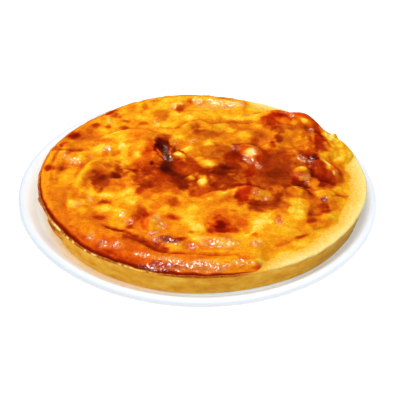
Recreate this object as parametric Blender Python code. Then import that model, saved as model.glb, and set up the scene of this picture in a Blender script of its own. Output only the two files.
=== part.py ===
"""A baked milk tart on its round white plate.

Metres, +Z up. The origin is on the table under the middle of the plate, and -Y is the near side.
Three solids: the plate, the pastry shell that stands on it, and the custard that fills the shell.
"""

import math

import bpy
import numpy as np
from mathutils import Vector, noise

MM = 0.001
TURN = 2.0 * math.pi
GAP = 0.35 * MM  # between pieces that touch

# Plate: a low coupe plate with a rolled rim and a foot ring
PLATE_RADIUS = 127.8 * MM
PLATE_HEIGHT = 15.8 * MM
WELL_RADIUS = 114.2 * MM
WELL_LEVEL = 9.0 * MM  # top of the flat floor that the tart stands on
LIP_HALF_WIDTH, LIP_HALF_HEIGHT = 3.3 * MM, 3.0 * MM
LIP_START, LIP_SWEEP = 120.0, 190.0  # degrees round the lip, from where the inner slope meets it
RISE_SHARES = (0.25, 0.5, 0.75)  # where the inner slope is stepped
RISE_POWER = 1.5
FLOOR_UNDERSIDE = 4.2 * MM
UNDERSIDE_RISE = 1.4 * MM  # from the foot ring out to the well's radius
UNDERSIDE_EASE = 2.0 * MM
FOOT_SHOULDER = 1.2 * MM
FOOT_OUTER_RADIUS = 85.0 * MM
FOOT_INNER_RADIUS = 80.0 * MM
FOOT_ROUNDING = 0.7 * MM
PLATE_SEGMENTS = 72
LIP_STEPS = 6

# Tart: where it stands on the plate, and the size of its pastry shell
TART_X = 2.3 * MM
TART_Y = -0.8 * MM
TART_BASE = WELL_LEVEL + GAP
WALL_HEIGHT = 16.0 * MM
RIM_LEVEL = TART_BASE + WALL_HEIGHT
RIM_RADIUS = 114.5 * MM
FOOT_RADIUS = 111.3 * MM
WALL_THICKNESS = 5.4 * MM
PASTRY_FLOOR = 5.0 * MM
HEEL = 1.4 * MM  # bevel round the foot of the wall
WALL_LEVELS = (0.33, 0.60, 0.84, 0.955)  # heights of the rings up the wall, as shares of it

# The rim is not quite round or level, and the wall is undercut on the left. Each lobe is (middle, half width,
# extra in mm). Angles are in degrees round the tart, counter-clockwise from +X.
RIM_OVAL = 0.5 * MM
RIM_LOBES = (
    (-38.0, 36.0, 1.2),
    (-3.0, 24.0, 2.5),
    (21.0, 13.0, 2.6),
    (103.0, 36.0, 0.9),
    (143.0, 24.0, -1.2),
    (-128.0, 45.0, 0.8),
)
FOOT_LOBES = ((-30.0, 50.0, 1.6), (-120.0, 45.0, 1.4), (-172.0, 34.0, -3.6))
LEVEL_LOBES = ((103.0, 38.0, 1.0),)

# Finer unevenness, in layers of noise: (height in mm, fineness, place in the noise)
RIM_NOISE = ((0.6, 2.6, 4.0), (0.35, 14.0, 9.0))
FOOT_NOISE = ((0.5, 2.6, 4.0),)
LEVEL_NOISE = ((0.6, 2.2, 21.0), (0.5, 13.0, 33.0))
WALL_NOISE_HEIGHT, WALL_NOISE_FINENESS = 0.25, 7.0
# Place in the noise at the foot of the wall, and how much further it lies at the top
WALL_NOISE_FROM, WALL_NOISE_STEP = 50.0, 8.0

# The rim is a thin lip, but a broad pale shoulder on the right and again behind the great blister
LIP_WIDTH = 1.6 * MM
SHOULDERS = (
    # from, to, ramp at each end, width in mm
    (-72.0, 16.0, 9.0, 10.0),
    (54.0, 73.0, 6.0, 5.5),
)
SHOULDER_RAGGEDNESS, SHOULDER_FINENESS, SHOULDER_PLACE = 0.30, 7.0, 2.0
SHOULDER_FALL = 0.16  # slope of the shoulder down towards the custard
# How far in the highest line lies, as shares of the lip and of the shoulder
LIP_CREST, SHOULDER_CREST = 0.45, 0.06
INNER_DROP = 0.3 * MM  # of the lip's inner edge below its highest line
INNER_LEAN = 0.5 * MM  # least lean of the wall's inside

# Where the baked skin tore, the custard crumbles out over the rim
TEAR_CENTRE = (103.0, 36.0)
TEAR_REACH = (14.0, 24.0)
TEAR_HEIGHT = 2.6
TEAR_LENGTH = 5.5  # of one crag
TEAR_BLEND = 2.0
TEAR_EDGE = 0.45  # share of its reach over which the tear fades out

# Custard that leaked through the wall and baked on to it: (angle, half angle, height share, bulge in mm)
LEAKS = ((212.0, 6.0, 0.66, 2.0), (197.0, 2.2, 0.75, 1.6))
LEAK_HEIGHT = 0.34  # half the height of a leak, as a share of the wall's

# Custard surface, in millimetres from the middle of the tart and from the level of the rim
RINGS = 34
RIM_SEGMENTS = 6 * RINGS
LEVEL = 0.9
EDGE_DROP = 0.25
EDGE_BLEND = 6.5
STEEP_BLEND = 3.0  # behind the great blister and at the tear, where the custard stands steeply over the rim
STEEP_FROM, STEEP_TO, STEEP_RAMP = 10.0, 62.0, 8.0
GENTLE_BLEND = 12.0  # beside the broad shoulder, where it sinks gently to the pastry
GENTLE_FROM, GENTLE_TO, GENTLE_RAMP = -70.0, 8.0, 10.0
FOLLOW_FROM = 0.8  # share of the radius from which the surface follows the uneven rim
SWELL = 0.75  # height of the long undulation
SWELL_LENGTH = 26.0
RIPPLE = 0.35
RIPPLE_LENGTH = 9.0
SWELL_PLACE, RIPPLE_PLACE, TEAR_PLACE = 3.0, 7.0, 12.0  # in the noise
FOLD_ENDS = 0.25  # share of a fold's length over which each end fades
FOLD_END_LEVEL = 0.3

# Hills that the custard puffed up into. A lean above 0 makes the side to the left of the length steeper.
# (x, y, half length, half width, turn in degrees, height, fullness, lean)
HILLS = (
    # the great blister at the back, the flap of skin right of it, and the hill in front of the flap
    (64, 72, 31, 19, -20, 8.2, 3.0, 0.46),
    (56, 76, 9, 8, 0, 1.7, 2.2, 0.0),
    (85, 39, 21, 13, -66, 5.4, 4.0, 0.25),
    (91, 8, 18, 11, -58, 4.6, 3.0, 0.3),
    (72, 26, 18, 13, -40, 2.4, 2.4, 0.0),
    (99.5, 50, 4, 4, 0, 3.6, 2.0, 0.0),
    # hills right of the middle
    (36, 28, 17, 10, -48, 5.2, 2.2, -0.2),
    (52, 38, 9, 6, 20, 2.4, 2.0, 0.0),
    (72, 2, 9, 11, 0, 4.6, 2.6, 0.0),
    (67, -20, 10, 8, 0, 3.0, 2.2, 0.0),
    (87, -23, 10, 7, -10, 3.0, 2.2, 0.0),
    (91, -47, 13, 8, 35, 3.0, 2.4, 0.0),
    (77, -60, 12, 7, 30, 2.4, 2.2, 0.0),
    (34, -23, 17, 12, -14, 5.6, 2.0, 0.2),
    (12, -27, 17, 8, 20, 3.2, 2.2, 0.2),
    (60, -38, 10, 10, 0, 1.8, 2.0, 0.0),
    # the broad hill left of the middle and its shoulders
    (-51, 45, 27, 19, 6, 6.2, 3.0, 0.35),
    (-38, 20, 16, 15, 0, 3.6, 3.0, -0.2),
    (-68, 5, 17, 13, 0, 4.2, 2.3, 0.1),
    (-53, -2, 9, 7, 0, 1.8, 2.0, 0.0),
    (-92, 16, 13, 9, -10, 2.4, 2.2, 0.0),
    (-72, 30, 11, 9, 30, 2.2, 2.2, 0.0),
    # small blisters along the near side
    (-83, -39, 9, 8, 0, 1.7, 2.0, 0.0),
    (-52, -50, 9, 8, 0, 1.6, 2.0, 0.0),
    (-45, -58, 7, 7, 0, 1.5, 2.0, 0.0),
    (-33, -63, 9, 13, 10, 2.7, 2.2, 0.0),
    (-25, -77, 12, 6, 0, 2.2, 2.2, 0.0),
    (-14, -84, 9, 5, 0, 2.2, 2.2, 0.0),
    (11, -79, 16, 7, -5, 2.0, 2.2, 0.0),
    (37, -79, 8, 6, 0, 1.3, 2.0, 0.0),
    (15, -58, 14, 10, 0, 1.2, 2.0, 0.0),
    # bright knobs in the brown middle
    (3, -11, 7, 6, 0, 2.8, 2.4, 0.0),
    (-8, -6, 5, 4, 0, 1.6, 2.0, 0.0),
    (6, 13, 10, 5, -20, 1.9, 2.0, 0.0),
    (-15, 24, 8, 5, -15, 1.8, 2.0, 0.0),
    (-8, 33, 8, 5, 0, 1.7, 2.0, 0.0),
    (35, 54, 12, 9, 0, 2.2, 2.0, 0.0),
    # blisters along the far side
    (-18, 96, 8, 7, 0, 1.8, 2.0, 0.0),
    (-36, 84, 12, 8, 0, 1.5, 2.0, 0.0),
    (-44, 97, 9, 6, 0, 1.2, 2.0, 0.0),
)

# Hollows, as the hills above, with a depth for a height
HOLLOWS = (
    (18, 4, 30, 15, -8, 2.6, 2.0, 0.0),
    (55, 6, 18, 14, 0, 2.4, 2.0, 0.0),
    (-20, 2, 16, 10, -40, 2.0, 2.0, 0.0),
    (-17, 40, 9, 13, 15, 2.0, 2.0, 0.0),
    (77, -42, 9, 9, 0, 2.2, 2.0, 0.0),
    (72, -14, 7, 4, -35, 2.0, 2.0, 0.0),
    (12, 55, 20, 9, 0, 1.6, 2.0, 0.0),
    (-90, 46, 22, 12, 30, 1.4, 2.0, 0.0),
    (-5, -40, 30, 12, 0, 0.8, 2.0, 0.0),
    (98, 24, 8, 5, -20, 1.6, 2.0, 0.0),
)

# Folds of the skin: (height, half width, points along it). A crease has a height below zero.
FOLDS = (
    # the blister's crest runs on round the right-hand end
    (4.3, 9.0, ((66, 79), (77, 74), (85, 64), (90, 54), (95.5, 40))),
    # rolls along the near, far and left edges
    (2.5, 11.0, ((-84, -52), (-66, -73), (-45, -88), (-20, -100), (15, -101), (44, -93))),
    (1.9, 6.0, ((-30, 103), (-8, 106), (14, 104), (32, 100))),
    (1.6, 5.0, ((-105, -8), (-102, 18), (-96, 40))),
    # soft folds behind and left of the middle
    (2.6, 5.5, ((-17, 57), (-9, 66), (-2, 69), (7, 63), (18, 67))),
    (2.0, 6.0, ((-86, -18), (-82, -2), (-74, 14))),
    # creases
    (-1.5, 2.6, ((-65, -63), (-56, -67), (-47, -70), (-40, -75))),
    (-1.2, 3.4, ((-40, -78), (-27, -90), (-8, -92), (15, -92), (32, -91))),
    (-0.7, 3.4, ((54, -78), (67, -71), (76, -62))),
    (-1.4, 3.4, ((-110, 29), (-95, 27), (-83, 28))),
    (-1.3, 3.0, ((92, -18), (99, -21), (106, -19))),
    (-0.6, 5.0, ((46, 72), (30, 73), (12, 72), (0, 76))),
    (-1.0, 3.2, ((78, 21), (88, 21), (99, 23))),
)


def smooth(share):
    """A smooth step from 0 to 1."""
    share = np.clip(share, 0.0, 1.0)
    return share * share * (3.0 - 2.0 * share)


def within(angle, start, end, ramp):
    """1 between two angles in degrees, falling smoothly to 0 over the ramp inside each end."""
    return smooth((angle - start) / ramp) * smooth((end - angle) / ramp)


def wobble(angle, pitch, seed):
    """Smooth noise round the tart, from -1 to 1. The angle is in degrees."""
    turn = math.radians(angle)
    return noise.noise(Vector((pitch * math.cos(turn), pitch * math.sin(turn), seed)))


def uneven(angle, layers):
    """The sum of some layers of noise round the tart, in metres."""
    return sum(height * MM * wobble(angle, pitch, seed) for height, pitch, seed in layers)


# ---- plate ----

def plate_profile():
    """(radius, height) from the middle of the top, out over the rim and back to the middle underneath."""
    lip_radius, lip_level = PLATE_RADIUS - LIP_HALF_WIDTH, PLATE_HEIGHT - LIP_HALF_HEIGHT
    lip = []
    for step in range(LIP_STEPS + 1):
        turn = math.radians(LIP_START - LIP_SWEEP * step / LIP_STEPS)
        radius = lip_radius + LIP_HALF_WIDTH * math.cos(turn)
        lip.append((radius, lip_level + LIP_HALF_HEIGHT * math.sin(turn)))
    run, rise = lip[0][0] - WELL_RADIUS, lip[0][1] - WELL_LEVEL
    points = [(0.0, WELL_LEVEL), (WELL_RADIUS, WELL_LEVEL)]
    for share in RISE_SHARES:
        points.append((WELL_RADIUS + run * share, WELL_LEVEL + rise * share**RISE_POWER))
    points += lip
    points += [
        (WELL_RADIUS + UNDERSIDE_EASE, FLOOR_UNDERSIDE + UNDERSIDE_RISE),
        (FOOT_OUTER_RADIUS + UNDERSIDE_EASE, FLOOR_UNDERSIDE),
        (FOOT_OUTER_RADIUS, FLOOR_UNDERSIDE - FOOT_SHOULDER),
        (FOOT_OUTER_RADIUS - FOOT_ROUNDING, 0.0),
        (FOOT_INNER_RADIUS + FOOT_ROUNDING, 0.0),
        (FOOT_INNER_RADIUS, FLOOR_UNDERSIDE - FOOT_SHOULDER),
        (FOOT_INNER_RADIUS - UNDERSIDE_EASE, FLOOR_UNDERSIDE),
        (0.0, FLOOR_UNDERSIDE),
    ]
    return points


def turned(profile, segments):
    """Vertices and faces of a solid turned about Z. The profile starts and ends on the axis."""
    rings = profile[1:-1]
    vertices = [(0.0, 0.0, profile[0][1])]
    for radius, height in rings:
        for step in range(segments):
            turn = TURN * step / segments
            vertices.append((radius * math.cos(turn), radius * math.sin(turn), height))
    vertices.append((0.0, 0.0, profile[-1][1]))
    return vertices, tube_faces(len(rings), segments, 0, len(vertices) - 1, 1)


def tube_faces(rings, segments, first_pole, last_pole, offset, leaning=False):
    """Triangles from one pole, over the rings, to the other pole. The rings' vertices start at offset.

    Leaning turns the diagonal of each quad, so that two walls a gap apart can be split alike.
    """
    faces = []
    last_ring = offset + (rings - 1) * segments
    for step in range(segments):
        after = (step + 1) % segments
        if first_pole is not None:
            faces.append((first_pole, offset + step, offset + after))
        for ring in range(rings - 1):
            near = offset + ring * segments
            far = near + segments
            if leaning:
                faces += [(near + step, far + step, near + after), (far + step, far + after, near + after)]
            else:
                faces += [(near + step, far + step, far + after), (near + step, far + after, near + after)]
        faces.append((last_pole, last_ring + after, last_ring + step))
    return faces


# ---- pastry shell ----

def lobe(share):
    """A bump that is 1 at 0 and falls smoothly to 0 at -1 and 1."""
    return np.clip(1.0 - share * share, 0.0, None) ** 2


def signed(angle):
    """The same angle, from -180 to 180 degrees."""
    return (angle + 180.0) % 360.0 - 180.0


def lobes(angle, places):
    """The sum of the lobes at this angle, in metres."""
    return sum(extra * MM * float(lobe(signed(angle - middle) / half)) for middle, half, extra in places)


def rim_radius(angle):
    """Outer radius of the rim."""
    oval = RIM_OVAL * math.cos(2 * math.radians(angle))
    return RIM_RADIUS + oval + lobes(angle, RIM_LOBES) + uneven(angle, RIM_NOISE)


def foot_radius(angle):
    """Outer radius of the foot of the wall."""
    return FOOT_RADIUS + lobes(angle, FOOT_LOBES) + uneven(angle, FOOT_NOISE)


def rim_level(angle):
    """Height of the rim's highest line."""
    return RIM_LEVEL + lobes(angle, LEVEL_LOBES) + uneven(angle, LEVEL_NOISE)


def rim_width(angle):
    """Width of the pastry that shows at the top: a thin lip, or a shoulder."""
    width = LIP_WIDTH
    ragged = 1.0 + SHOULDER_RAGGEDNESS * wobble(angle, SHOULDER_FINENESS, SHOULDER_PLACE)
    for start, end, ramp, extra in SHOULDERS:
        width += extra * MM * ragged * float(within(signed(angle), start, end, ramp))
    return width


def leak_bulge(angle, share):
    """How far the leaked custard stands out of the wall at this share of its height."""
    bulge = 0.0
    for middle, half, level, depth in LEAKS:
        across = signed(angle - middle) / half
        up = (share - level) / LEAK_HEIGHT
        bulge += depth * MM * max(0.0, 1.0 - across * across - up * up) ** 0.5
    return bulge


def inner_foot(angle):
    """Radius of the corner where the inside of the wall meets the pastry floor."""
    return min(foot_radius(angle) - WALL_THICKNESS, rim_radius(angle) - rim_width(angle) - INNER_LEAN)


def shell_rings(angle):
    """(radius, height) of each ring of the shell at this angle, from the inner floor over the rim to the heel."""
    outer = rim_radius(angle)
    top = rim_level(angle)
    width = rim_width(angle)
    foot = foot_radius(angle)
    crest = LIP_CREST * LIP_WIDTH + SHOULDER_CREST * (width - LIP_WIDTH)
    points = [
        (inner_foot(angle), TART_BASE + PASTRY_FLOOR),
        (outer - width, top - SHOULDER_FALL * (width - LIP_WIDTH) - INNER_DROP),
        (outer - crest, top),
    ]
    for share in reversed(WALL_LEVELS):
        place = WALL_NOISE_FROM + WALL_NOISE_STEP * share
        lumps = WALL_NOISE_HEIGHT * MM * wobble(angle, WALL_NOISE_FINENESS, place)
        radius = foot + (outer - foot) * share + lumps + leak_bulge(angle, share)
        points.append((radius, TART_BASE + (top - TART_BASE) * share))
    points += [(foot, TART_BASE + HEEL), (foot - HEEL, TART_BASE)]
    return points


def pastry_shell():
    """Vertices and faces of the shell, about the middle of the tart."""
    angles = [360.0 * step / RIM_SEGMENTS for step in range(RIM_SEGMENTS)]
    columns = [shell_rings(angle) for angle in angles]
    rings = len(columns[0])
    vertices = [(0.0, 0.0, TART_BASE + PASTRY_FLOOR)]
    for ring in range(rings):
        for angle, column in zip(angles, columns):
            radius, height = column[ring]
            turn = math.radians(angle)
            vertices.append((radius * math.cos(turn), radius * math.sin(turn), height))
    vertices.append((0.0, 0.0, TART_BASE))
    return vertices, tube_faces(rings, RIM_SEGMENTS, 0, len(vertices) - 1, 1)


# ---- custard ----

def mound(x, y, place):
    """One hill over the plane: its height in its middle, and 0 from its edge on."""
    middle_x, middle_y, half_length, half_width, turn, height, fullness, lean = place
    turn = math.radians(turn)
    along = ((x - middle_x) * math.cos(turn) + (y - middle_y) * math.sin(turn)) / half_length
    across = ((y - middle_y) * math.cos(turn) - (x - middle_x) * math.sin(turn)) / half_width
    across = across / np.where(across > 0.0, 1.0 - lean, 1.0 + lean)
    reach = np.hypot(along, across)
    return height * np.clip(1.0 - reach**fullness, 0.0, None) ** 2


def fold(x, y, half_width, points):
    """0 to 1 along a line of points: 1 on the line, fading across it and towards its ends."""
    nearest = np.full_like(x, np.inf)
    run = np.zeros_like(x)
    spans = list(zip(points, points[1:]))
    lengths = [math.dist(start, end) for start, end in spans]
    done = 0.0
    for (start, end), length in zip(spans, lengths):
        dx, dy = (end[0] - start[0]) / length, (end[1] - start[1]) / length
        along = np.clip((x - start[0]) * dx + (y - start[1]) * dy, 0.0, length)
        away = np.hypot(x - start[0] - along * dx, y - start[1] - along * dy)
        run = np.where(away < nearest, done + along, run)
        nearest = np.minimum(nearest, away)
        done += length
    ends = smooth(run / (FOLD_ENDS * done)) * smooth((done - run) / (FOLD_ENDS * done))
    across = np.clip(1.0 - (nearest / half_width) ** 2, 0.0, None) ** 2
    return across * (FOLD_END_LEVEL + (1.0 - FOLD_END_LEVEL) * ends)


def noise_field(x, y, length, seed):
    """Smooth noise over the surface, from about -1 to 1."""
    return np.array([noise.noise(Vector((a / length, b / length, seed))) for a, b in zip(x, y)])


def tear(x, y):
    """0 to 1 over the place where the skin tore."""
    reach = np.hypot((x - TEAR_CENTRE[0]) / TEAR_REACH[0], (y - TEAR_CENTRE[1]) / TEAR_REACH[1])
    return smooth((1.0 - reach) / TEAR_EDGE)


def custard_height(x, y, edge):
    """Height over the rim. All are arrays in millimetres, and edge is the distance in from the pastry."""
    angle = np.degrees(np.arctan2(y, x))
    blend = EDGE_BLEND + (STEEP_BLEND - EDGE_BLEND) * within(angle, STEEP_FROM, STEEP_TO, STEEP_RAMP)
    blend = blend + (GENTLE_BLEND - EDGE_BLEND) * within(angle, GENTLE_FROM, GENTLE_TO, GENTLE_RAMP)
    torn = tear(x, y) * smooth(edge / TEAR_BLEND)
    inside = smooth(edge / blend)
    height = LEVEL + SWELL * noise_field(x, y, SWELL_LENGTH, SWELL_PLACE)
    height += RIPPLE * noise_field(x, y, RIPPLE_LENGTH, RIPPLE_PLACE)
    for hill in HILLS:
        height += mound(x, y, hill)
    for hollow in HOLLOWS:
        height -= mound(x, y, hollow)
    for rise, half_width, points in FOLDS:
        height += rise * fold(x, y, half_width, points)
    crags = TEAR_HEIGHT * (0.5 + noise_field(x, y, TEAR_LENGTH, TEAR_PLACE))
    return height * inside - EDGE_DROP * (1.0 - inside) + torn * crags


def disc_grid(rings):
    """An even triangle grid on a unit disc: (radius, angle in degrees) of its points, and its triangles."""
    points = [(0.0, 0.0)]
    starts = [0]
    for ring in range(1, rings + 1):
        starts.append(len(points))
        points += [(ring / rings, 60.0 * step / ring) for step in range(6 * ring)]
    triangles = []
    for ring in range(1, rings + 1):
        outer, inner = starts[ring], starts[ring - 1]
        around, within_it = 6 * ring, max(1, 6 * (ring - 1))
        for side in range(6):
            for step in range(ring):
                near = outer + side * ring + step
                after = outer + (side * ring + step + 1) % around
                below = inner + (side * (ring - 1) + step) % within_it
                triangles.append((near, after, below))
                if step < ring - 1:
                    beside = inner + (side * (ring - 1) + step + 1) % within_it
                    triangles.append((after, beside, below))
    return points, triangles


def custard():
    """Vertices and faces of the custard, about the middle of the tart."""
    points, faces = disc_grid(RINGS)
    edges = np.array([rim_radius(angle) - rim_width(angle) - GAP for _, angle in points])
    shares = np.array([share for share, _ in points])
    turns = np.radians([angle for _, angle in points])
    radii = edges * shares
    x, y = radii * np.cos(turns), radii * np.sin(turns)
    rims = np.array([rim_level(angle) for _, angle in points])
    follow = smooth((shares - FOLLOW_FROM) / (1.0 - FOLLOW_FROM))
    levels = RIM_LEVEL * (1.0 - follow) + rims * follow
    z = levels + MM * custard_height(x / MM, y / MM, (edges - radii) / MM)
    fall = np.array([SHOULDER_FALL * (rim_width(angle) - LIP_WIDTH) for _, angle in points])
    z -= fall * follow
    vertices = list(zip(x.tolist(), y.tolist(), z.tolist()))
    offset = len(vertices) - RIM_SEGMENTS
    floor = TART_BASE + PASTRY_FLOOR + GAP
    for step in range(RIM_SEGMENTS):
        angle = 360.0 * step / RIM_SEGMENTS
        turn = math.radians(angle)
        radius = inner_foot(angle) - GAP
        vertices.append((radius * math.cos(turn), radius * math.sin(turn), floor))
    vertices.append((0.0, 0.0, floor))
    faces += tube_faces(2, RIM_SEGMENTS, None, len(vertices) - 1, offset, leaning=True)
    return vertices, faces


# ---- objects ----

def material(name, colour, roughness):
    made = bpy.data.materials.new(name)
    made.use_nodes = True
    shader = made.node_tree.nodes["Principled BSDF"]
    shader.inputs["Base Color"].default_value = (*colour, 1.0)
    shader.inputs["Roughness"].default_value = roughness
    shader.inputs["Metallic"].default_value = 0.0
    made.diffuse_color = (*colour, 1.0)
    return made


def solid(name, shape, finish, location=(0.0, 0.0, 0.0), sharp_degrees=35.0):
    """One named object from (vertices, faces), shaded smooth except over sharp edges."""
    mesh = bpy.data.meshes.new(name)
    mesh.from_pydata(*shape_with_edges(shape))
    mesh.validate()
    mesh.shade_smooth()
    mesh.set_sharp_from_angle(angle=math.radians(sharp_degrees))
    mesh.materials.append(finish)
    made = bpy.data.objects.new(name, mesh)
    made.location = location
    bpy.context.scene.collection.objects.link(made)
    return made


def shape_with_edges(shape):
    """from_pydata's three lists: vertices, no loose edges, and faces."""
    vertices, faces = shape
    return vertices, [], faces


def main():
    for old in list(bpy.data.objects):
        bpy.data.objects.remove(old, do_unlink=True)
    glaze = material("white_glaze", (0.86, 0.87, 0.88), 0.12)
    pastry = material("pastry", (0.74, 0.46, 0.13), 0.75)
    baked_custard = material("baked_custard", (0.90, 0.42, 0.04), 0.35)
    middle = (TART_X, TART_Y, 0.0)
    solid("plate", turned(plate_profile(), PLATE_SEGMENTS), glaze)
    solid("pastry_shell", pastry_shell(), pastry, middle)
    solid("custard_filling", custard(), baked_custard, middle, sharp_degrees=60.0)


main()
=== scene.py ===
"""The looks of a baked milk tart on its round white plate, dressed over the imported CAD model."""

import math

import bpy
import numpy as np
from mathutils import Matrix, Vector, noise


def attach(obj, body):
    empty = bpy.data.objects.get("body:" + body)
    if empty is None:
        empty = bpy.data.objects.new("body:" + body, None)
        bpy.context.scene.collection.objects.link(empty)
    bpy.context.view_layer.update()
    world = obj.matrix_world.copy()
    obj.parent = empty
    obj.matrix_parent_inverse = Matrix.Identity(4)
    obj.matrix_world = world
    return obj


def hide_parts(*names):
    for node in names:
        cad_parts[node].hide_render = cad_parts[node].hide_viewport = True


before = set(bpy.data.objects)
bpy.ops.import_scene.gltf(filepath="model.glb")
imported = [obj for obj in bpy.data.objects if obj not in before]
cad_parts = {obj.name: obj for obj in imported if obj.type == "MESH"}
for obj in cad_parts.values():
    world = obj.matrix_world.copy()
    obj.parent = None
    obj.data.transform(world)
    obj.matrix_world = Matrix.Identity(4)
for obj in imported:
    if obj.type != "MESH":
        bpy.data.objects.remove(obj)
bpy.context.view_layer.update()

MM = 0.001

# ---- sizes in millimetres, from the middle of the tart; angles run counter-clockwise from +X ----

TART_X, TART_Y = 2.3, -0.8  # the middle of the tart, from the middle of the plate
TART_BASE = 9.35  # heights from the table
RIM_LEVEL = 25.35
RIM_RADIUS, FOOT_RADIUS = 114.5, 111.3
RIM_OVAL = 0.5

# Bulges and flattened parts of the rim's radius, the foot's radius and the rim's height:
# (middle, half width, height)
RIM_LOBES = (
    (-38.0, 36.0, 1.2), (-3.0, 24.0, 2.5), (21.0, 13.0, 2.6), (103.0, 36.0, 0.9), (143.0, 24.0, -1.2),
    (-128.0, 45.0, 0.8),
)
FOOT_LOBES = ((-30.0, 50.0, 1.6), (-120.0, 45.0, 1.4), (-172.0, 34.0, -3.6))
LEVEL_LOBES = ((103.0, 38.0, 1.0),)

# Noise round the tart: (height, bumps in a radian, seed)
RIM_NOISE = ((0.6, 2.6, 4.0), (0.35, 14.0, 9.0))
FOOT_NOISE = ((0.5, 2.6, 4.0),)
LEVEL_NOISE = ((0.6, 2.2, 21.0), (0.5, 13.0, 33.0))
SHOULDER_NOISE = ((0.30, 7.0, 2.0),)
BURNT_NOISE = ((0.35, 14.0, 61.0),)
BURNT_TOP_NOISE = ((0.05, 25.0, 85.0),)
FLAKE_NOISE = ((1.0, 7.0, 81.0), (0.8, 40.0, 83.0))

PASTRY_FLOOR = 5.0
WALL_THICKNESS = 5.4
LIP_WIDTH = 1.6
SHOULDERS = ((-72.0, 16.0, 9.0, 10.0), (54.0, 73.0, 6.0, 5.5))  # (from, to, ramp, extra width)
SHOULDER_FALL = 0.16  # how far a shoulder falls inwards, for each millimetre

# The torn place: its middle, its reach, and how softly it begins inside it and at the pastry
TEAR_CENTRE, TEAR_REACH = (103.0, 36.0), (14.0, 24.0)
TEAR_FADE, TEAR_EDGE = 0.45, 2.0
CRAG_LIFT = 1.3

# Custard that leaked down the wall: (middle, half width, level as a share of the wall's height, depth)
LEAKS = ((212.0, 6.0, 0.66, 2.0), (197.0, 2.2, 0.75, 1.6))
LEAK_HEIGHT = 0.34  # half the height of a leak, as a share of the wall's
LEAK_CORE, LEAK_CORE_HEIGHT = 0.20, 0.18  # how far its darkest part lies above its middle, and its height
LEAK_NOISE = ((0.45, 3.4, 87.0),)
LEAK_EDGE, LEAK_FADE = 1.2, 0.6
CORE_EDGE, CORE_FADE = 1.1, 0.8

LEVEL, EDGE_DROP = 0.9, 0.25
EDGE_BLEND = 6.5  # how far in from the pastry the custard takes to rise
OTHER_BLENDS = ((10.0, 62.0, 8.0, 3.0), (-70.0, 8.0, 10.0, 12.0))  # (from, to, ramp, how far there)

# Noise over a surface: (height, length, seed)
SWELLS = ((0.75, 26.0, 3.0), (0.35, 9.0, 7.0), (0.22, 4.2, 44.2), (0.08, 2.1, 42.1), (0.03, 1.1, 41.1))
CRAGS = ((2.6, 5.5, 12.0), (0.30, 2.4, 17.0), (0.12, 1.2, 19.0))
BLISTERING = ((0.45, 3.0, 71.0),)  # extra relief in the glossy places
DAB_NOISE = ((0.22, 5.0, 120.0), (0.22, 2.2, 125.0))
BROWN_NOISE = ((0.06, 12.0, 127.0),)
PALE_NOISE = ((3.2, 9.0, 91.0), (1.8, 3.0, 93.0))
CRUST_LUMPS = ((0.34, 5.0, 2.2, 0.0), (0.22, 1.9, 1.0, 9.0))  # (height, length, length upwards, seed)

# Noise that shifts what is painted, for ragged outlines: (shift, length, seed)
DAB_WARPS = ((1.8, 10.0, 100.0), (1.0, 3.6, 110.0))
GLOSS_WARP = (1.5, 5.0, 130.0)
WARP_SEED_STEP = 50.0  # from the seed for x to the seed for y

# (x, y, half length, half width, turn in degrees, height, fullness, and lean where it leans)
HILLS = (
    # the great blister at the back, the flap of skin right of it, and the hill in front of the flap
    (64, 72, 31, 19, -20, 8.2, 3, 0.46), (56, 76, 9, 8, 0, 1.7, 2.2), (85, 39, 21, 13, -66, 5.4, 4, 0.25),
    (91, 8, 18, 11, -58, 4.6, 3, 0.3), (72, 26, 18, 13, -40, 2.4, 2.4), (99.5, 50, 4, 4, 0, 3.6, 2),
    # hills right of the middle
    (36, 28, 17, 10, -48, 5.2, 2.2, -0.2), (52, 38, 9, 6, 20, 2.4, 2), (72, 2, 9, 11, 0, 4.6, 2.6),
    (67, -20, 10, 8, 0, 3, 2.2), (87, -23, 10, 7, -10, 3, 2.2), (91, -47, 13, 8, 35, 3, 2.4),
    (77, -60, 12, 7, 30, 2.4, 2.2), (34, -23, 17, 12, -14, 5.6, 2, 0.2),
    (12, -27, 17, 8, 20, 3.2, 2.2, 0.2), (60, -38, 10, 10, 0, 1.8, 2),
    # the broad hill left of the middle and its shoulders
    (-51, 45, 27, 19, 6, 6.2, 3, 0.35), (-38, 20, 16, 15, 0, 3.6, 3, -0.2),
    (-68, 5, 17, 13, 0, 4.2, 2.3, 0.1), (-53, -2, 9, 7, 0, 1.8, 2), (-92, 16, 13, 9, -10, 2.4, 2.2),
    (-72, 30, 11, 9, 30, 2.2, 2.2),
    # small blisters along the near side
    (-83, -39, 9, 8, 0, 1.7, 2), (-52, -50, 9, 8, 0, 1.6, 2), (-45, -58, 7, 7, 0, 1.5, 2),
    (-33, -63, 9, 13, 10, 2.7, 2.2), (-25, -77, 12, 6, 0, 2.2, 2.2), (-14, -84, 9, 5, 0, 2.2, 2.2),
    (11, -79, 16, 7, -5, 2, 2.2), (37, -79, 8, 6, 0, 1.3, 2), (15, -58, 14, 10, 0, 1.2, 2),
    # bright knobs in the brown middle
    (3, -11, 7, 6, 0, 2.8, 2.4), (-8, -6, 5, 4, 0, 1.6, 2), (6, 13, 10, 5, -20, 1.9, 2),
    (-15, 24, 8, 5, -15, 1.8, 2), (-8, 33, 8, 5, 0, 1.7, 2), (35, 54, 12, 9, 0, 2.2, 2),
    # blisters along the far side
    (-18, 96, 8, 7, 0, 1.8, 2), (-36, 84, 12, 8, 0, 1.5, 2), (-44, 97, 9, 6, 0, 1.2, 2),
)

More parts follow.
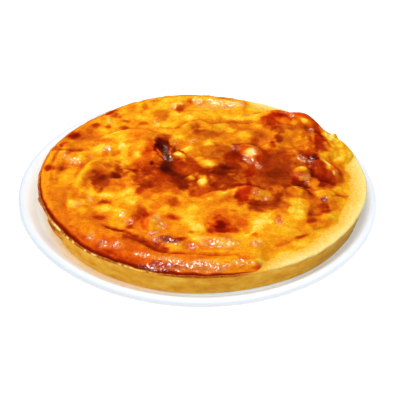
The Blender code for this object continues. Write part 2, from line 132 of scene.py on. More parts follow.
# Hollows, as the hills above, with a depth for a height
HOLLOWS = (
    (18, 4, 30, 15, -8, 2.6, 2), (55, 6, 18, 14, 0, 2.4, 2), (-20, 2, 16, 10, -40, 2, 2),
    (-17, 40, 9, 13, 15, 2, 2), (77, -42, 9, 9, 0, 2.2, 2), (72, -14, 7, 4, -35, 2, 2),
    (12, 55, 20, 9, 0, 1.6, 2), (-90, 46, 22, 12, 30, 1.4, 2), (-5, -40, 30, 12, 0, 0.8, 2),
    (98, 24, 8, 5, -20, 1.6, 2),
)

# Folds of the skin: (height, half width, points along it). A crease has a height below zero.
FOLDS = (
    # the blister's crest runs on round the right-hand end
    (4.3, 9.0, ((66, 79), (77, 74), (85, 64), (90, 54), (95.5, 40))),
    # rolls along the near, far and left edges
    (2.5, 11.0, ((-84, -52), (-66, -73), (-45, -88), (-20, -100), (15, -101), (44, -93))),
    (1.9, 6.0, ((-30, 103), (-8, 106), (14, 104), (32, 100))),
    (1.6, 5.0, ((-105, -8), (-102, 18), (-96, 40))),
    # soft folds behind and left of the middle
    (2.6, 5.5, ((-17, 57), (-9, 66), (-2, 69), (7, 63), (18, 67))),
    (2.0, 6.0, ((-86, -18), (-82, -2), (-74, 14))),
    # creases
    (-1.5, 2.6, ((-65, -63), (-56, -67), (-47, -70), (-40, -75))),
    (-1.2, 3.4, ((-40, -78), (-27, -90), (-8, -92), (15, -92), (32, -91))),
    (-0.7, 3.4, ((54, -78), (67, -71), (76, -62))),
    (-1.4, 3.4, ((-110, 29), (-95, 27), (-83, 28))),
    (-1.3, 3.0, ((92, -18), (99, -21), (106, -19))),
    (-0.6, 5.0, ((46, 72), (30, 73), (12, 72), (0, 76))),
    (-1.0, 3.2, ((78, 21), (88, 21), (99, 23))),
)
FOLD_END, FOLD_FADE = 0.3, 0.25  # the share of a fold's height at its ends, and of its length that fades

# Browning in hundredths, from 0, pale yellow, to 125, almost black, and redness in tenths, from 0, ochre,
# to 10, a deep red. Each dab paints over the ones before it:
# (x, y, half length, half width, browning, redness, and turn where it is turned).
# They lie on the plane of the rim as seen from the near side, SIGHT_ANGLE above the table, so what stands
# higher is drawn further away.
SIGHT_ANGLE = 35.1
GROUND_BROWN, GROUND_RED = 0.30, 0.25
DAB_EDGE, DAB_FADE = 1.42, 1.04
# Besides browning, the dabs paint shade: the darker flanks of hills and the creases are painted shade.
DABS = (
    # broad ground colours
    (-75, 65, 50, 36, 31, 1, 40), (-92, 48, 18, 22, 48, 1), (-20, 95, 55, 18, 27, 1),
    (-62, 28, 20, 20, 22, 1), (-1, 58, 16, 20, 52, 0), (30, 58, 22, 17, 50, 1), (48, 14, 40, 26, 80, 1.5),
    (-10, 0, 30, 18, 82, 3.5), (12, 26, 20, 13, 75, 1), (-92, -25, 20, 34, 44, 1),
    (-80, -60, 16, 20, 50, 1, 40), (-48, -88, 36, 14, 60, 5, -26), (0, -101, 34, 8, 50, 4),
    (62, -62, 36, 24, 26, 1, 30), (20, 90, 36, 10, 27, 1),
    # the far left
    (-96, 50, 8, 7, 70, 5), (-96, 49, 5, 4, 100, 7), (-85, 57, 3, 6, 62, 3), (-81, 64, 3, 4, 85, 6),
    (-71.5, 62, 3, 4, 75, 5), (-58.5, 61.5, 4, 3.5, 75, 3), (-58.5, 72, 3, 2, 70, 4),
    (-72, 85.5, 6, 4, 85, 7, 40), (-68, 80, 3, 4, 72, 4), (-64, 78, 2, 3, 60, 2),
    (-44.5, 68, 4, 3, 65, 4, 10), (-46, 96, 2.5, 8, 50, 2), (-37, 104, 6, 3, 50, 3, 20),
    (-56, 93, 4, 6, 45, 1), (-34, 85, 6, 6, 58, 0), (-31, 77, 4, 6, 52, 0, -30), (-30, 100, 9, 7, 16, 0),
    (-36, 93, 7, 4, 18, 0), (-20, 85, 6, 4, 12, 0), (-12, 78, 7, 5, 14, 0, 30), (-45, 78, 8, 5, 20, 0),
    (-55, 79, 6, 4, 24, 1), (-17, 94, 3.5, 7, 75, 4, -8), (-11, 103, 2.5, 8, 55, 4, -5),
    (-17, 64, 3.5, 3, 55, 1, 20), (-28, 63, 6, 2.5, 42, 0), (-28, 68, 10, 3, 15, 0),
    (-31, 57, 8, 3, 20, 0, -10), (-22, 74, 5, 4, 26, 0), (-70, 55, 6, 6, 18, 1), (-60, 50, 4, 9, 33, 1),
    (-76, 59, 3, 4, 22, 1), (-66, 66, 3, 3, 20, 0), (-85, 47, 8, 4, 56, 2), (-92, 38, 8, 5, 42, 1),
    (-102, 36, 4, 3, 74, 4), (-93, 30, 9, 3, 54, 1, 5), (-97, 38, 4, 4, 54, 1), (-108, 31, 4, 4, 70, 4),
    (-79, 46, 6, 4, 56, 2), (-71, 44, 4, 3, 60, 5, 20), (-76, 32, 3, 9, 24, 0, -25), (-70, 42, 4, 5, 56, 2),
    (-66, 47, 5, 8, 40, 1), (-84, 25, 6, 3, 16, 1), (-66, 23, 6, 6, 15, 0), (-57, 28, 5, 11, 12, 0),
    (-60, 15, 8, 4, 14, 0, 15), (-71, 28, 3, 6, 44, 5), (-63, 26, 2, 5, 40, 2, -35),
    (-62, 38, 2, 8, 30, 3, 10), (-104, 18, 4, 8, 60, 3), (-95, 20, 6, 7, 38, 7),
    (-90, 10, 8, 3, 46, 8, -20), (-88, 18, 3, 5, 22, 1), (-82, 20, 3, 6, 32, 3), (-106, 5, 5, 4, 92, 5),
    (-99, 4, 4, 3, 64, 2), (-91, 2, 6, 4, 22, 0), (-55, 10, 3.5, 10, 14, 0),
    # the broad hill left of the middle
    (-47, 54, 9, 11, 42, 7), (-48, 48, 3, 6, 52, 8), (-40, 51, 4, 9, 38, 6), (-53, 41, 6, 3, 44, 5),
    (-46, 36, 8, 6, 36, 6), (-51, 28, 3, 7, 36, 6), (-43, 22, 8, 12, 62, 7, 10), (-47, 25, 4, 5, 26, 4),
    (-38, 34, 3, 12, 60, 10), (-40, 25, 5, 5, 70, 8), (-37, 16, 9, 7, 68, 6), (-45, 11, 6, 7, 60, 6),
    (-27, 52, 8, 3, 60, 0, -10), (-36, 55, 3, 3, 50, 1), (-29, 37, 6, 12, 100, 5, 8),
    (-33, 36, 2, 10, 120, 9, -3), (-32, 44, 3, 5, 110, 3), (-27, 30, 3, 8, 115, 4, 10),
    (-32, 25, 2, 6, 60, 6, 35), (-25, 23, 3, 4, 108, 5), (-24, 13, 6, 6, 112, 1), (-25, 7, 6, 5, 122, 1),
    (-36, 14, 1.6, 2.2, 125, 1), (-22, 0, 6, 4, 105, 2), (-37, 5, 9, 4, 80, 5),
    (-48, 3, 4, 2.5, 84, 6, -30), (-51, 9, 4, 3, 50, 4), (-21, 28, 2.5, 7, 82, 4, 10),
    (-20, 44, 3, 5, 26, 1), (-31, 31, 2.5, 7, 114, 6, 10), (-27, 23, 2.5, 5, 112, 5, 10),
    # between the hills at the back
    (-18, 50, 4.5, 5, 14, 0), (-19, 42, 2.5, 3, 35, 1), (-10, 35, 5, 4, 27, 0), (-16, 27, 4, 4, 16, 0),
    (-5, 29, 5, 4, 34, 0), (-12, 43, 4, 4, 50, 0), (-6, 46, 4, 6, 52, 0), (-2, 21, 4, 3, 24, 1),
    (-8, 18, 5, 4, 74, 4), (-15, 12, 5, 7, 90, 6), (-5, 10, 6, 5, 78, 5), (-17, 19, 3, 4, 82, 5),
    (-7, 68, 3, 9, 50, 0, -20), (-2, 60, 4, 12, 62, 0), (-11, 60, 4, 6, 32, 0), (4, 69, 7, 3, 50, 0),
    (15, 68, 5, 4, 28, 0, 30), (22, 61, 4, 5, 18, 0), (17, 64, 3, 3, 26, 0), (2, 64, 8, 2, 30, 0, 10),
    (9, 55, 9, 4, 54, 0), (11, 62, 5, 2.5, 26, 0), (5, 51, 8, 3, 58, 0, -20), (15, 50, 7, 7, 46, 0),
    (7, 43, 6, 4, 18, 0, -10), (12, 39, 8, 5, 66, 1, -30), (28, 50, 8, 8, 38, 2), (32, 52, 5, 6, 30, 1),
    (41, 68, 3, 4, 26, 0), (35, 67, 5, 4, 46, 1), (25, 68, 4, 5, 55, 2), (45, 60, 4, 7, 46, 0),
    (41, 48, 5, 5, 70, 4), (40, 56, 3, 5, 55, 1), (34, 42, 9, 2.5, 66, 2, 5), (47, 43, 4, 8, 42, 5, 10),
    (51, 35, 3, 5, 55, 6), (52.5, 44, 2, 3.5, 85, 9), (56, 54, 3, 4, 78, 3), (60, 50, 5, 6, 72, 2),
    (60, 57, 4, 3, 48, 0), (62, 43, 4, 4, 40, 0), (68, 47, 4, 6, 42, 0), (68, 37, 3, 6, 58, 0, 25),
    (60, 36, 4, 4, 70, 1),
    # the far side
    (16, 109, 5, 2.5, 55, 4), (13, 99, 6, 4, 16, 1), (30, 100, 3, 4, 32, 2), (5, 92, 8, 3, 26, 1, -5),
    (22, 94, 8, 3, 20, 1), (2, 105, 2, 6, 34, 2), (8, 102, 6, 3, 14, 1), (23, 102, 5, 3, 16, 1),
    (34, 98, 2.5, 8, 42, 2), (39, 96, 4, 11, 14, 0), (47, 94, 4, 6, 10, 0), (10, 85, 9, 3, 20, 0),
    (30, 80, 14, 3, 18, 0), (5, 80, 6, 3, 24, 0), (15, 78, 4, 3, 42, 0), (35, 85, 3, 3, 40, 6),
    (30, 74, 17, 3, 60, 1), (45, 73, 4, 3, 70, 2),
    # the great blister and the flap
    (66, 78, 21, 14, 72, 8, -10), (50, 78, 5, 7, 92, 8), (57, 84, 6, 6, 98, 10), (54, 76, 4, 4, 94, 10),
    (54, 92, 3, 3, 78, 8), (50, 70, 5, 5, 96, 5), (56, 65, 7, 5, 98, 3), (55, 72, 6, 4, 90, 6),
    (64, 88, 8, 2.5, 78, 9), (65, 81, 5, 4, 66, 10), (63, 76, 4, 4, 52, 7), (73, 86, 6, 4, 68, 10),
    (71, 80, 4, 3, 60, 8), (78, 84, 5, 4, 66, 8, -40), (77.5, 76, 3, 4, 20, 1, 20),
    (70, 74, 5, 4, 38, 3, 35), (66, 66, 7, 4, 68, 2), (59, 60, 5, 3, 78, 1), (72, 61, 4, 8, 44, 1, -15),
    (78, 68, 4, 5, 66, 3), (79, 58, 3, 8, 68, 2, -15), (84, 77, 4, 8, 70, 7, 25), (86, 67, 4, 8, 88, 7, 15),
    (88, 55, 4, 10, 95, 7, 10), (86, 46, 4, 8, 98, 8, 5), (89, 38, 3.5, 7, 92, 7), (92, 62, 2.5, 7, 56, 6),
    (94, 48, 3, 7, 55, 4, 20), (93, 40, 3, 5, 50, 3), (75, 45, 4, 7, 68, 1, -10), (80, 44, 3, 8, 76, 5),
    (65, 49, 4, 9, 44, 0, 5), (62, 45, 4, 5, 44, 0), (57, 52, 3, 5, 82, 1), (46, 55, 5, 9, 56, 1, -15),
    (49, 66, 3, 5, 50, 0),
    # the torn place
    (102, 40, 7, 20, 20, 2, 15), (96, 58, 5, 6, 0, 0), (103, 56, 2.5, 7, 0, 0), (98, 31, 6, 9, 15, 2),
    (106, 32, 4, 9, 19, 2, 15), (96, 37, 2, 4, 20, 3), (101, 45, 2, 3, 20, 3), (100, 51, 3, 4, 2, 2),
    (96, 20, 3, 4, 44, 6), (97, 12, 4, 4, 52, 6), (100, 5, 3, 6, 56, 4), (104, 16, 2.5, 7, 20, 2, -15),
    (90, 26, 2.5, 6, 14, 1, 10), (95, 25, 3.5, 4, 18, 1),
    # the brown middle
    (79, 30, 6, 8, 90, 5), (74, 30, 4, 7, 84, 4), (84, 16, 5, 12, 100, 6, 5), (85, 3, 6, 8, 100, 9),
    (93, 6, 3, 6, 74, 7), (80, 8, 3, 6, 86, 5), (69, 13, 6, 5, 52, 1), (73, 12, 3, 3.5, 26, 1),
    (67, 3, 3, 6, 80, 4), (61, 28, 5, 7, 80, 2), (47, 20, 4, 10, 82, 3), (45, 30, 3, 5, 72, 8),
    (70, 22, 3, 7, 64, 1, 25), (36, 30, 7, 8, 58, 9), (33, 22, 3, 7, 55, 8, 15), (40, 14, 3, 6, 60, 7, 15),
    (42, 24, 2.5, 5, 90, 9), (26, 35, 3, 6, 85, 6, 15), (24, 27, 5, 6, 95, 7), (29, 38, 4, 4, 86, 6),
    (36, 30.5, 2.6, 4.2, 2, 3), (10, 12, 6, 4, 95, 3), (14, 3, 8, 3, 95, 3), (25, 14, 6, 6, 95, 4),
    (17, 9, 7, 3, 110, 2, 15), (20, 24, 4, 6, 92, 5), (11, 28, 6, 5, 66, 0), (3, 28, 4, 6, 54, 0),
    (5, 15, 7, 6, 42, 2), (5, 15, 4, 3.5, 22, 0), (30, 15, 2.5, 6, 62, 3, 20), (35, 5, 4, 8, 90, 9),
    (43, 5, 6, 6, 80, 4), (53, 5, 8, 5, 84, 1), (-35, -12, 12, 9, 80, 4), (-38, -15, 5, 4, 90, 4),
    (-45, -5, 5, 6, 78, 4), (-28, -3, 6, 6, 86, 5), (-15, -8, 7, 7, 105, 2, -30), (-12, -15, 5, 5, 98, 3),
    (-5, -23, 5, 5, 80, 5), (-22, -15, 5, 4, 70, 5), (-31, -22, 8, 4, 60, 5), (-42, -22, 4, 4, 72, 8),
    (-6, -3, 2.5, 3.5, 28, 2), (1, -7, 3.5, 7, 12, 0), (18, -8, 10, 9, 90, 2), (10, -13, 3, 6, 86, 5),
    (3, -20, 6, 4, 72, 5), (1, -26, 5, 4, 58, 5), (50, -5, 14, 9, 86, 1), (42, -12, 6, 5, 74, 2),
    # the hills right of the middle, near side
    (33, -10, 3, 6, 92, 9), (31, -20, 5, 7, 92, 10), (28, -26, 5, 5, 90, 9), (20, -22, 4, 5, 34, 5),
    (30, -29, 6, 5, 86, 9), (15, -20, 4, 3, 22, 2), (4, -20, 7, 4, 62, 4, 15), (10, -28, 6, 6, 36, 6),
    (17, -28, 4, 4, 48, 7), (38, -21, 4, 6, 60, 8, 20), (44, -23, 4, 4, 34, 2), (45, -27, 3.5, 3.5, 48, 6),
    (53, -27, 4, 9, 84, 2), (45, -35, 12, 4.5, 82, 1), (37, -33, 6, 4, 84, 3), (53, -38, 6, 3, 78, 1),
    (38, -40, 6, 4, 80, 2, -20), (56, -35, 5, 4, 75, 1), (57, -42, 4, 3, 55, 1), (66, -3, 3, 6, 96, 10),
    (69, -9, 5, 3, 100, 3), (74, -13, 5, 2, 100, 3, -35), (75, -2, 2.5, 6, 36, 5, -10),
    (79.5, -6, 3, 5, 32, 2), (88, -4, 7, 5, 96, 8), (85, -10, 4, 4, 92, 4), (93, -8, 4, 4, 88, 4),
    (98, -3, 3, 5, 62, 4), (65, -16, 5, 4, 50, 1), (64, -22, 5, 4, 55, 1), (60, -20, 3, 6, 72, 1),
    (72, -21, 3, 5, 62, 2), (61, -14, 3.5, 5, 80, 2), (65, -30, 5, 5, 13, 0), (69, -39, 5, 5, 10, 0),
    (64, -45, 5, 9, 12, 0), (60, -55, 4, 6, 22, 1), (77, -22, 3, 8, 60, 2), (84, -19, 5, 4, 44, 2, 20),
    (78, -33, 4, 8, 64, 1), (84, -27, 3, 4, 85, 8), (84, -35, 4, 5, 92, 5), (84, -42, 4, 3, 92, 5),
    (91, -33, 3, 5, 48, 3), (93, -38, 3, 4, 48, 3, 20), (75, -46, 3.5, 8, 62, 1), (74, -53, 3, 4, 72, 2),
    (82, -48, 5, 4, 40, 1, 30), (84, -54, 5, 5, 52, 2, 30), (77, -58, 7, 3, 65, 3, 10),
    (70, -62, 5, 4, 40, 1), (98, -15, 5, 5, 28, 1), (97, -29, 5, 4, 28, 1),
    # the near side
    (15, -57, 12, 11, 58, 7), (14, -58, 6, 7, 88, 7), (13, -59, 3.5, 4.5, 116, 7), (15, -65, 6, 3, 92, 6),
    (12, -51, 3.5, 3.5, 80, 6), (22, -64, 4, 3, 72, 5), (7, -66, 3, 3, 70, 6), (29, -56, 4, 5, 55, 7),
    (22, -43, 3, 2, 60, 5), (14, -44, 5, 4, 50, 6), (30, -49, 3, 3, 44, 4), (40, -55, 7, 6, 10, 0),
    (44, -48, 4, 4, 14, 0), (37, -62, 5, 4, 12, 0, 30), (52, -52, 2.5, 6, 52, 6), (28, -72, 6, 4, 14, 0),
    (35, -69, 3, 2, 50, 3), (12, -77, 10, 5, 34, 7), (5, -78, 4, 4, 60, 8), (37, -79, 4, 3, 55, 8),
    (28, -81, 4, 4, 20, 0), (14, -86, 8, 3, 34, 3), (50, -71, 6, 5, 32, 1), (53, -79, 6, 1.8, 50, 2, 30),
    (12, -91, 12, 1.6, 36, 3, -3), (30, -93, 7, 1.6, 48, 3), (42, -88, 6, 3, 28, 1, 15),
    (15, -97, 12, 3, 38, 3), (5, -103, 10, 4, 46, 4), (26, -102, 10, 4, 38, 3), (36, -103, 3, 2, 66, 5, 30),
    (33, -98, 5, 2, 30, 4), (66, -71, 6, 2, 72, 3, 30), (55, -90, 8, 5, 12, 0, 30),
    (68, -78, 7, 4, 14, 0, 40), (80, -66, 6, 3, 16, 0, 45), (92, -47, 3, 8, 26, 0, -30),
    (100, -31, 3, 7, 20, 0, -15), (104, -12, 2.5, 10, 18, 0, -5), (95, -23, 6, 1.6, 60, 2, -10),
    (102, -24, 3, 2, 58, 2, 30),
    # the middle of the near side
    (-18, -22, 5, 4, 56, 5), (-25, -31, 5, 5, 50, 6), (-19, -34, 5, 5, 68, 5, -10), (-30, -39, 4, 6, 50, 9),
    (-10, -32, 5, 5, 36, 5), (-37, -27, 4, 5, 50, 6), (-25, -44, 4, 3, 20, 1), (-12, -45, 5, 5, 18, 0),
    (-5, -42, 5, 5, 14, 0), (-8, -54, 6, 6, 14, 0), (-2, -62, 6, 6, 8, 0), (-19, -51, 5, 3.5, 78, 7, -20),
    (-15, -62, 4, 4, 26, 2), (-3, -73, 4, 5, 14, 0), (-6, -68, 2, 2, 55, 5),
    # the left
    (-95, -8, 9, 9, 28, 0), (-86, -8, 3, 9, 33, 0), (-101, -13, 1.6, 5, 55, 2),
    (-103, -23, 3, 5, 50, 1, 20), (-100, -33, 3, 4, 50, 1), (-88, -25, 3, 6, 46, 1, -15),
    (-82, -12, 1.6, 13, 50, 2, -5), (-88, -40, 4, 5, 18, 2), (-92, -44, 2, 6, 56, 2, 15),
    (-94, -31, 2.2, 9, 56, 1, 8), (-98, -44, 2, 7, 52, 1, 22), (-86, -49, 5, 3, 46, 2, -30),
    (-90, -60, 3, 5, 40, 1, 35), (-76, -60, 5, 4, 42, 1), (-105, -6, 1.6, 7, 56, 2),
    (-100, -21, 3, 8, 42, 1), (-91, -18, 2, 6, 46, 1, -10), (-97, 10, 3, 4, 42, 3),
    (-83, -30, 2, 5, 44, 3, -20), (-80, -45, 4, 3, 22, 1), (-77, -36, 4, 6, 26, 4), (-74, 11, 8, 5, 62, 0),
    (-66, 9, 5, 6, 60, 0), (-81, 3, 3, 8, 46, 0, 5), (-63, 13, 3, 3, 58, 1), (-73, 3, 7, 5, 70, 0),
    (-60, 8, 2, 6, 64, 4), (-71, -8, 6, 12, 86, 2, 5), (-73, -12, 4, 7, 92, 3), (-66, -14, 5, 6, 80, 2),
    (-70, -21, 3, 4, 78, 5), (-64, -4, 4, 6, 68, 1), (-60, -3, 4, 4, 98, 2), (-58, -16, 6, 4, 60, 5, 10),
    (-55, -10, 4, 3, 44, 6), (-75, -23, 4, 6, 14, 0, -20), (-65, -27, 7, 3, 13, 0),
    (-56, -26, 6, 4, 14, 0, 30), (-60, -19, 6, 3, 40, 3), (-72, -19, 3, 4, 60, 2),
    (-49, -22, 4, 4, 14, 0, 20), (-48, -33, 4, 6, 14, 0), (-66, -37, 7, 4, 52, 5),
    (-65, -37.5, 5, 3, 82, 5), (-64, -43, 7, 4, 7, 0), (-56, -41, 3, 5, 20, 1), (-55, -50, 3.5, 7, 28, 2),
    (-57, -58, 4, 6, 26, 1), (-67, -54, 5, 3.5, 74, 5), (-64, -65, 5, 2.5, 50, 3),
    (-41, -45, 4, 8, 66, 3, -8), (-37, -51, 3, 7, 72, 7, 10), (-43, -53, 4, 4, 70, 4),
    (-36, -60, 2.5, 8, 62, 10), (-46, -58, 4, 4, 66, 8), (-46, -64, 3, 3, 74, 6), (-41, -62, 2.5, 4, 30, 4),
    (-29, -58, 3, 6, 32, 8, 20), (-25, -62, 2.5, 5, 28, 5), (-33, -50, 2, 5, 46, 9),
    (-21, -65, 4, 4, 36, 7), (-31, -73, 3, 4, 60, 8), (-29, -80, 5, 4, 70, 4),
    (-21, -76, 8, 3.5, 90, 3, -22), (-13, -76, 5, 3, 84, 5),
    # the roll along the near left edge and the crease behind it
    (-70, -73, 5, 6, 50, 4), (-60, -78, 7, 5, 60, 5), (-56, -85, 6, 5, 66, 7), (-65, -83, 4, 4, 60, 5),
    (-45, -93, 9, 4, 48, 6, -15), (-33, -98, 8, 4, 50, 6), (-60, -90, 5, 4, 68, 6),
    (-50, -98, 9, 3, 60, 6, -20), (-25, -103, 10, 3, 74, 6), (-55, -67, 7, 1.4, 76, 3, -15),
    (-44, -76, 7, 5, 70, 2, -20), (-48, -83, 6, 5, 60, 3), (-37, -78, 3, 3, 70, 2),
    (-31, -84, 6, 4, 68, 2, -30), (-24, -88, 5, 3, 66, 2), (-16, -87, 4.5, 3.8, 36, 3),
    (-15, -87.5, 2.2, 2, 12, 1), (-6, -83, 4, 5, 46, 8), (-12, -92, 8, 2, 62, 6),
    # smaller dabs over these: the left and the far side
    (-83, -60, 4, 7, 38, 1, 30), (-75, -69, 5, 5, 40, 2), (-68, -80, 4, 4, 36, 4),
    (-60, -85, 4, 4, 44, 5, -30), (-52, -91, 4, 2.5, 52, 6, -30), (-82, -24, 2.5, 6, 24, 1),
    (-91, -10, 2.5, 5, 20, 0), (-79, -46, 3, 5, 20, 1), (-87, -4, 2, 7, 42, 1),
    (-27, -65, 2.5, 4, 16, 3, 10), (-31, -81, 3, 2.5, 60, 3, -30), (-23, -87, 3, 2.5, 56, 4),
    (-10, -87, 3, 2, 26, 3), (-16, -88, 4, 3, 16, 1), (-22, -101, 8, 2.5, 80, 7, -10),
    (-38, -60, 2, 6, 74, 9), (-54, 0, 3, 4, 92, 3), (-41, 2, 4, 2, 92, 4), (-96, 23, 4, 4, 50, 6),
    (-103, 10, 2, 5, 56, 3), (-110, 5, 3.5, 4.5, 92, 5), (-77, 79, 3, 4, 50, 1, 40),
    (-72, 71, 1.2, 4, 12, 0, 25), (-103, 36, 3, 2.5, 86, 4), (-68, 43, 3, 4, 60, 3), (-39, 28, 4, 6, 78, 9),
    (-29, 50, 4, 2.5, 62, 3), (-21, 32, 1.6, 4, 90, 4, 10), (-38, 51, 2, 3, 40, 4), (-12, 100, 2, 4, 26, 3),
    (2, 98, 3, 3, 16, 1), (16, 107, 5, 2, 30, 3), (3, 88, 4, 2, 20, 1), (6, 70, 4, 2, 60, 0),
    (14, 75, 6, 1.5, 40, 0), (33, 75, 5, 1.5, 40, 0),
    # the blister, the torn place and the brown middle
    (49, 71, 3, 5, 102, 5), (46, 77, 2, 4, 86, 7), (75, 84, 4, 3, 84, 9, -20), (58, 89, 4, 2, 74, 9),
    (69, 51, 3, 4, 36, 0), (64, 41, 4, 3.5, 36, 0), (80, 52, 2, 4, 80, 3, -15), (58, 62, 4, 4, 84, 2),
    (77, 59, 2.5, 6, 76, 2, -15), (85, 39, 3, 5, 98, 6), (39, 17, 2, 5, 52, 6, 15), (31, 38, 4, 2, 90, 6),
    (28, 20, 2, 3, 90, 5), (63, 27, 3, 4, 92, 2), (68, 4, 4, 3.5, 95, 5), (102, 17, 3, 4, 46, 2),
    (92, 2, 4, 6, 90, 6), (86, 7, 4, 5, 106, 6), (84, 15, 3, 5, 104, 5), (97, 4, 2.5, 4, 72, 4),
    (103, 11, 2.5, 5, 44, 3), (109, 27, 2.5, 6, 10, 1, -15), (97, 28, 3, 3.5, 5, 1), (92, 30, 4, 5, 28, 2),
    (101, 58, 2, 4, 0, 0), (96, 53, 2.5, 4, 0, 0), (60, -14, 3.5, 4, 90, 3), (49, -17, 2, 3, 78, 2),
    (14, -17, 7, 2, 72, 4, 12), (28, -13, 3, 2.5, 90, 7), (1, -24, 4, 3, 72, 5), (23, -14, 7, 4, 82, 4, 10),
    (4, -24, 8, 4, 66, 5, 15), (61, -16, 6, 6, 80, 2), (56, -10, 3, 4, 84, 2), (81, -8, 2, 4, 40, 3, -10),
    (43, -13, 3, 3, 62, 3),
    # the near side, right
    (27, -35, 3, 3, 66, 6), (91, -12, 4, 3, 72, 3), (98, -20, 4, 2.5, 38, 2), (73, -25, 2.5, 4, 42, 2),
    (72.5, -41, 2.5, 4, 20, 0), (76, -51, 3, 5, 76, 2), (77, -26, 2, 4, 48, 2),
    (80, -46, 4, 2.5, 58, 2, 25), (77, -61, 4, 2.5, 56, 2, 30), (86, -41, 4, 2.5, 82, 5, 20),
    (86, -53, 4, 4, 48, 2, 30), (81, -57, 3, 2.5, 32, 1), (71, -32, 2, 4, 36, 1), (43, -38, 5, 2.5, 66, 2),
    (74, -47, 2, 4, 74, 2), (44, -33, 5, 2, 68, 2), (47, -24, 2, 2, 28, 2), (19, -79, 5, 2, 14, 1),
    (18, -88, 7, 1.5, 26, 2), (38, -104, 4, 4, 62, 5, 30), (27, -94.5, 3.5, 1.8, 62, 5),
    (-6, -94.5, 16, 2.6, 56, 4, 2), (12, -87, 9, 2.5, 22, 2), (40, -96, 3.5, 3.5, 10, 0),
    (33, -101, 3, 2, 28, 3),
    # the smallest dabs: the left
    (-100, 37, 3.5, 3, 72, 4), (-104, 20, 3, 6, 50, 2), (-93, 22, 4, 3, 50, 6), (-98, 13, 3, 2.5, 28, 2),
    (-90, 12, 3, 2.5, 32, 3), (-76, 74, 2.5, 4, 42, 1), (-95, 60, 3, 5, 34, 1, -35), (-66, 39, 3, 3, 48, 2),
    (-105, 20, 2, 6, 60, 3), (-67, 9, 4, 3, 74, 2), (-58, 3, 3, 3.5, 94, 3), (-54, 4, 2, 3, 46, 4),
    (-60, 15, 2.5, 3, 46, 1), (-28, 47, 3, 3, 70, 4), (-25, 40, 1.6, 5, 104, 4, 10),
    (-18, 22, 2.5, 2.5, 64, 2), (-38, 0, 7, 2.5, 86, 4), (-3, 1, 1.8, 3, 44, 2), (-16, 101, 2, 3, 32, 2),
    # between the hills at the back
    (5, 41, 4, 3, 16, 0), (6, 33, 4, 3, 48, 1), (31, 57, 4, 3, 38, 1), (19, 55, 4, 3, 36, 0),
    (39, 64, 2.5, 4, 30, 1), (7, 75, 4, 2.5, 30, 0), (3, 67, 5, 2.5, 50, 0), (46, 73, 2.5, 4, 86, 5),
    (39, 71, 3, 2, 50, 1), (50, 66, 3, 3, 78, 3), (65, 64, 3, 3, 74, 2), (69, 50, 2.5, 3, 28, 0),
    (75, 53, 2, 4, 70, 1), (74, 40, 2.5, 4, 80, 2), (78, 82, 3, 3, 80, 8, -30), (77, 74, 2.5, 3, 20, 1, 20),
    (63, 87, 3, 2, 72, 9),
    # the brown middle
    (30, 35, 2, 4, 94, 7), (46, 38, 2.5, 4, 42, 3), (52, 41, 2.5, 3, 82, 5), (58, 24, 3, 6, 70, 3, 10),
    (66, 27, 3, 3, 90, 3), (67, 9, 2.5, 3, 66, 2), (1, 14, 2, 3, 44, 2), (46, 9, 3, 5, 74, 3),
)

# Thin streaks: (browning, redness, half width, points along it)
STREAKS = (
    (2, 1, 1.8, ((87, 31), (88, 24), (90, 18), (92, 12))),
    (5, 1, 1.6, ((93, 9), (94, 3))),
    (6, 0, 1.8, ((49, -41), (42, -54), (33, -67), (28, -74))),
    (92, 3, 1.8, ((67, -12), (74, -17), (77, -24))),
    (56, 1, 1.6, ((-110, 29), (-94, 28), (-83, 29))),
    (42, 2, 1.0, ((-74, 12), (-68, 6), (-63, -1))),
    (85, 1, 1.4, ((-21, 34), (-14, 29), (-8, 22))),
    (55, 4, 1.6, ((-33, 34), (-30, 27), (-26, 20))),
)

# The near side is redder and, on the left, browner
NEAR_FROM, NEAR_FADE = -30.0, 40.0
NEAR_LEFT_FROM, NEAR_LEFT_FADE = 20.0, 60.0
NEAR_BROWN, NEAR_RED = 0.06, 0.22

# The burnt band along the edge of the custard: (angle, width)
BURNT_WIDTH = (
    (165, 0.0), (185, 1.2), (200, 2.8), (212, 4.0), (222, 4.2), (236, 3.8), (250, 4.6), (262, 4.0),
    (274, 3.1), (283, 2.0), (289, 0.0),
)
BURNT_FADE, BURNT_LEAST_FADE = 0.6, 0.3
BURNT_LEVEL, BURNT_RED = 1.06, 0.6

# Painted shade: browning for each millimetre of depth in creases and valleys, and lighter on rises, and how
# far round a point its depth is measured
CREASE_PAINTED_SHADE, CREASE_REACH = 0.12, 3.0
VALLEY_PAINTED_SHADE, VALLEY_REACH = 0.10, 8.0
DEPTH_SHADE_LIMITS, DEPTH_SHADE_EDGE = (-0.12, 0.20), 6.0
DEPTH_TURNS = (0.5, 2.07, 3.64, 5.21)
TORN_EVENNESS = 0.9  # how much less of this painted shade the torn place has
SLOPE_PAINTED_SHADE, SLOPE_STEP = 0.22, 1.0  # painted shade on the slopes that face away from the key light, and painted light on those that face it

# Where a shoulder's custard turns pale towards the pastry
PALE_WIDTH, PALE_WIDTH_FADE = 2.6, 3.0
PALE_EDGE, PALE_FADE = 1.0, 2.4

